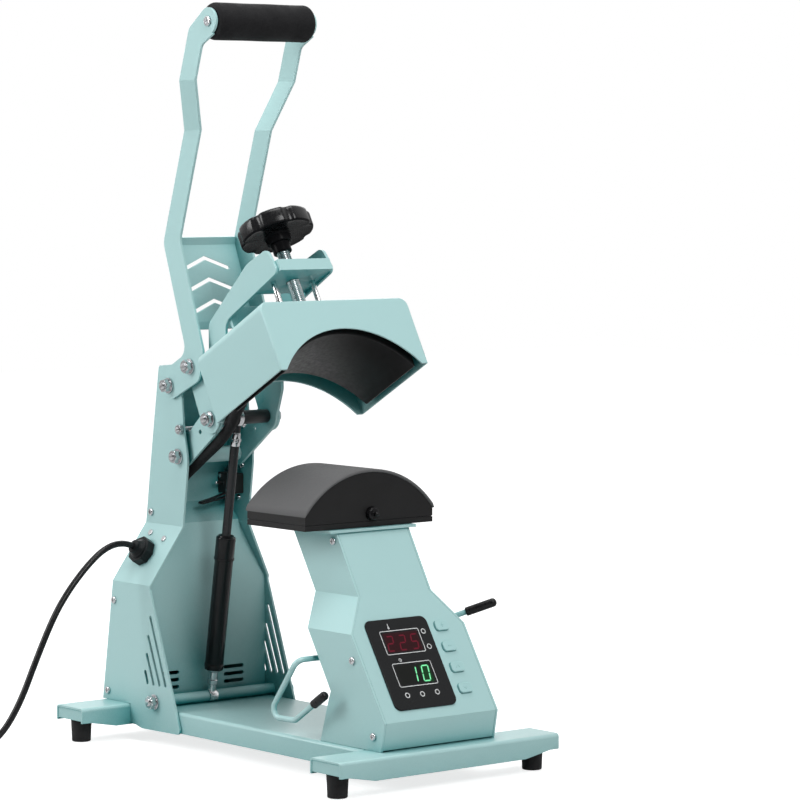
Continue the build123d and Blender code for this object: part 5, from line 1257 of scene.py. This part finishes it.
# ---------------------------------------------------------------------------
# Lower platen
# Black coated block with a curved top, clipped to the rail plate, under a moulded
# silicone pad; a knurled lock screw goes through its front.
# ---------------------------------------------------------------------------
finished(platen_coating, 0.6, "lower_platen_base")

PAD_CENTRE_Z = 202.8
PAD_RADIUS = 110.6
PAD_T = 3.5
PAD_HALF = 85.1                    # half its width between the rounded long edges
PAD_START = -119.0
PAD_END = -18.0
silicone, silicone_tree, silicone_shader = paint_named("grey_silicone")
silicone_tree.links.new(mixed(silicone_tree, grain(silicone_tree, 14, 3), (0.112, 0.113, 0.115),
                              (0.134, 0.135, 0.137)), silicone_shader.inputs["Base Color"])
silicone_tree.links.new(spread(silicone_tree, grain(silicone_tree, 380, 3), 0.5, 0.66, 0.3, 0.7),
                        silicone_shader.inputs["Roughness"])
silicone_shader.inputs["Specular IOR Level"].default_value = 0.05
relief(silicone_tree, silicone_shader, grain(silicone_tree, 1500, 2), 0.00006)

# Its section, over its top and back under it, as (sine, cosine, radius, side of the inset)
PAD_ARC_STEPS = 56
OUTER = PAD_RADIUS - 0.05
INNER = PAD_RADIUS - PAD_T + 0.02
pad_section = []
for radius, hub, start, face in ((OUTER, OUTER - 0.1, -1, 1), (INNER, INNER, 1, -1)):
    reach = math.asin(PAD_HALF / hub)
    for i in range(PAD_ARC_STEPS + 1):
        angle = start * reach * (1 - 2 * i / PAD_ARC_STEPS)
        pad_section.append((math.sin(angle), math.cos(angle), radius, face))
# Its rounded ends, as (distance from the end, inset)
pad_end = [(0.0, 1.3), (0.35, 0.55), (1.2, 0.12), (3.0, 0.0)]
stations = ([(PAD_START + d, inset) for d, inset in pad_end]
            + [(PAD_START + (PAD_END - PAD_START) * k / 10, 0.0) for k in range(1, 10)]
            + [(PAD_END - d, inset) for d, inset in reversed(pad_end)])
bm = bmesh.new()
rows = [[bm.verts.new(((radius - face * inset) * across, y,
                       PAD_CENTRE_Z + (radius - face * inset) * up))
         for across, up, radius, face in pad_section] for y, inset in stations]
skin(bm, rows)
for row in (rows[0], rows[-1]):
    for i in range(PAD_ARC_STEPS):
        bm.faces.new((row[i], row[i + 1], row[-2 - i], row[-1 - i]))
pad_cover = mesh_piece("silicone_cover", bm, silicone, "platen", 50)
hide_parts("silicone_pad")

LOCK_AT = (2.0, -117.5, 267.0)
finished(rocker_gloss, 0.3, "platen_lock_knob")
KNURL_STEPS = 56
KNURL_DEPTH = 0.32
bm = bmesh.new()
rows = []
for level, reach in ((0.1, 5.9), (0.5, 6.45), (4.6, 6.45), (5.2, 5.9), (5.35, 4.4), (5.35, 2.7),
                     (0.1, 2.7)):
    row = []
    for i in range(KNURL_STEPS):
        angle = 2 * math.pi * i / KNURL_STEPS
        radius = reach + (KNURL_DEPTH if reach > 6 and i % 2 else 0.0)
        row.append(bm.verts.new((radius * math.cos(angle), radius * math.sin(angle), level)))
    rows.append(row)
skin(bm, rows, closed=True)
mesh_piece("lock_knob_knurl", bm, rocker_gloss, "lock", 20,
           place=axes_at(LOCK_AT, (0, -1, 0), (1, 0, 0)))


# ---------------------------------------------------------------------------
# Hold-down bail
# Steel rod bent at each end, powder coated in mint, turning in two ears behind the
# post; dipped soft caps cover both ends.
# ---------------------------------------------------------------------------
finished(mint_coat, 0, "hold_down_rod")
cap_vinyl = moulded("dipped_cap_vinyl", (0.011, 0.011, 0.012), 0.28, 700, 0.00005)
CAP_RADIUS = 4.75
ROD_RADIUS = 3.02
# (place of the rod's end, a point back along the rod, length of the cap)
cap_places = (((-93.0, -159.0, 90.8), (-93.0, -110.5, 59.5), 24.0),
              ((123.5, -171.5, 170.0), (88.5, -139.5, 153.0), 34.0))
bm = bmesh.new()
for tip, back, long in cap_places:
    way = (Vector(back) - Vector(tip)).normalized()
    profile = [(0, -3.0)]
    for i in range(1, 9):
        angle = math.pi / 2 * i / 8
        profile.append((CAP_RADIUS * math.sin(angle) ** 0.9, -3.0 + 4.2 * (1 - math.cos(angle))))
    profile += [(CAP_RADIUS + 0.02, long * 0.5), (CAP_RADIUS - 0.05, long - 5.2),
                (CAP_RADIUS, long - 4.2), (CAP_RADIUS - 0.1, long - 3.3),
                (CAP_RADIUS - 0.9, long - 3.0), (ROD_RADIUS, long - 3.0), (ROD_RADIUS, 1.0),
                (0, 1.0)]
    join_in(bm, lathe(profile), axes_at(tip, way, (1, 0, 0)))
bail_caps = mesh_piece("bail_caps", bm, cap_vinyl, "bail", 50)
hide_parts("hold_down_grips")
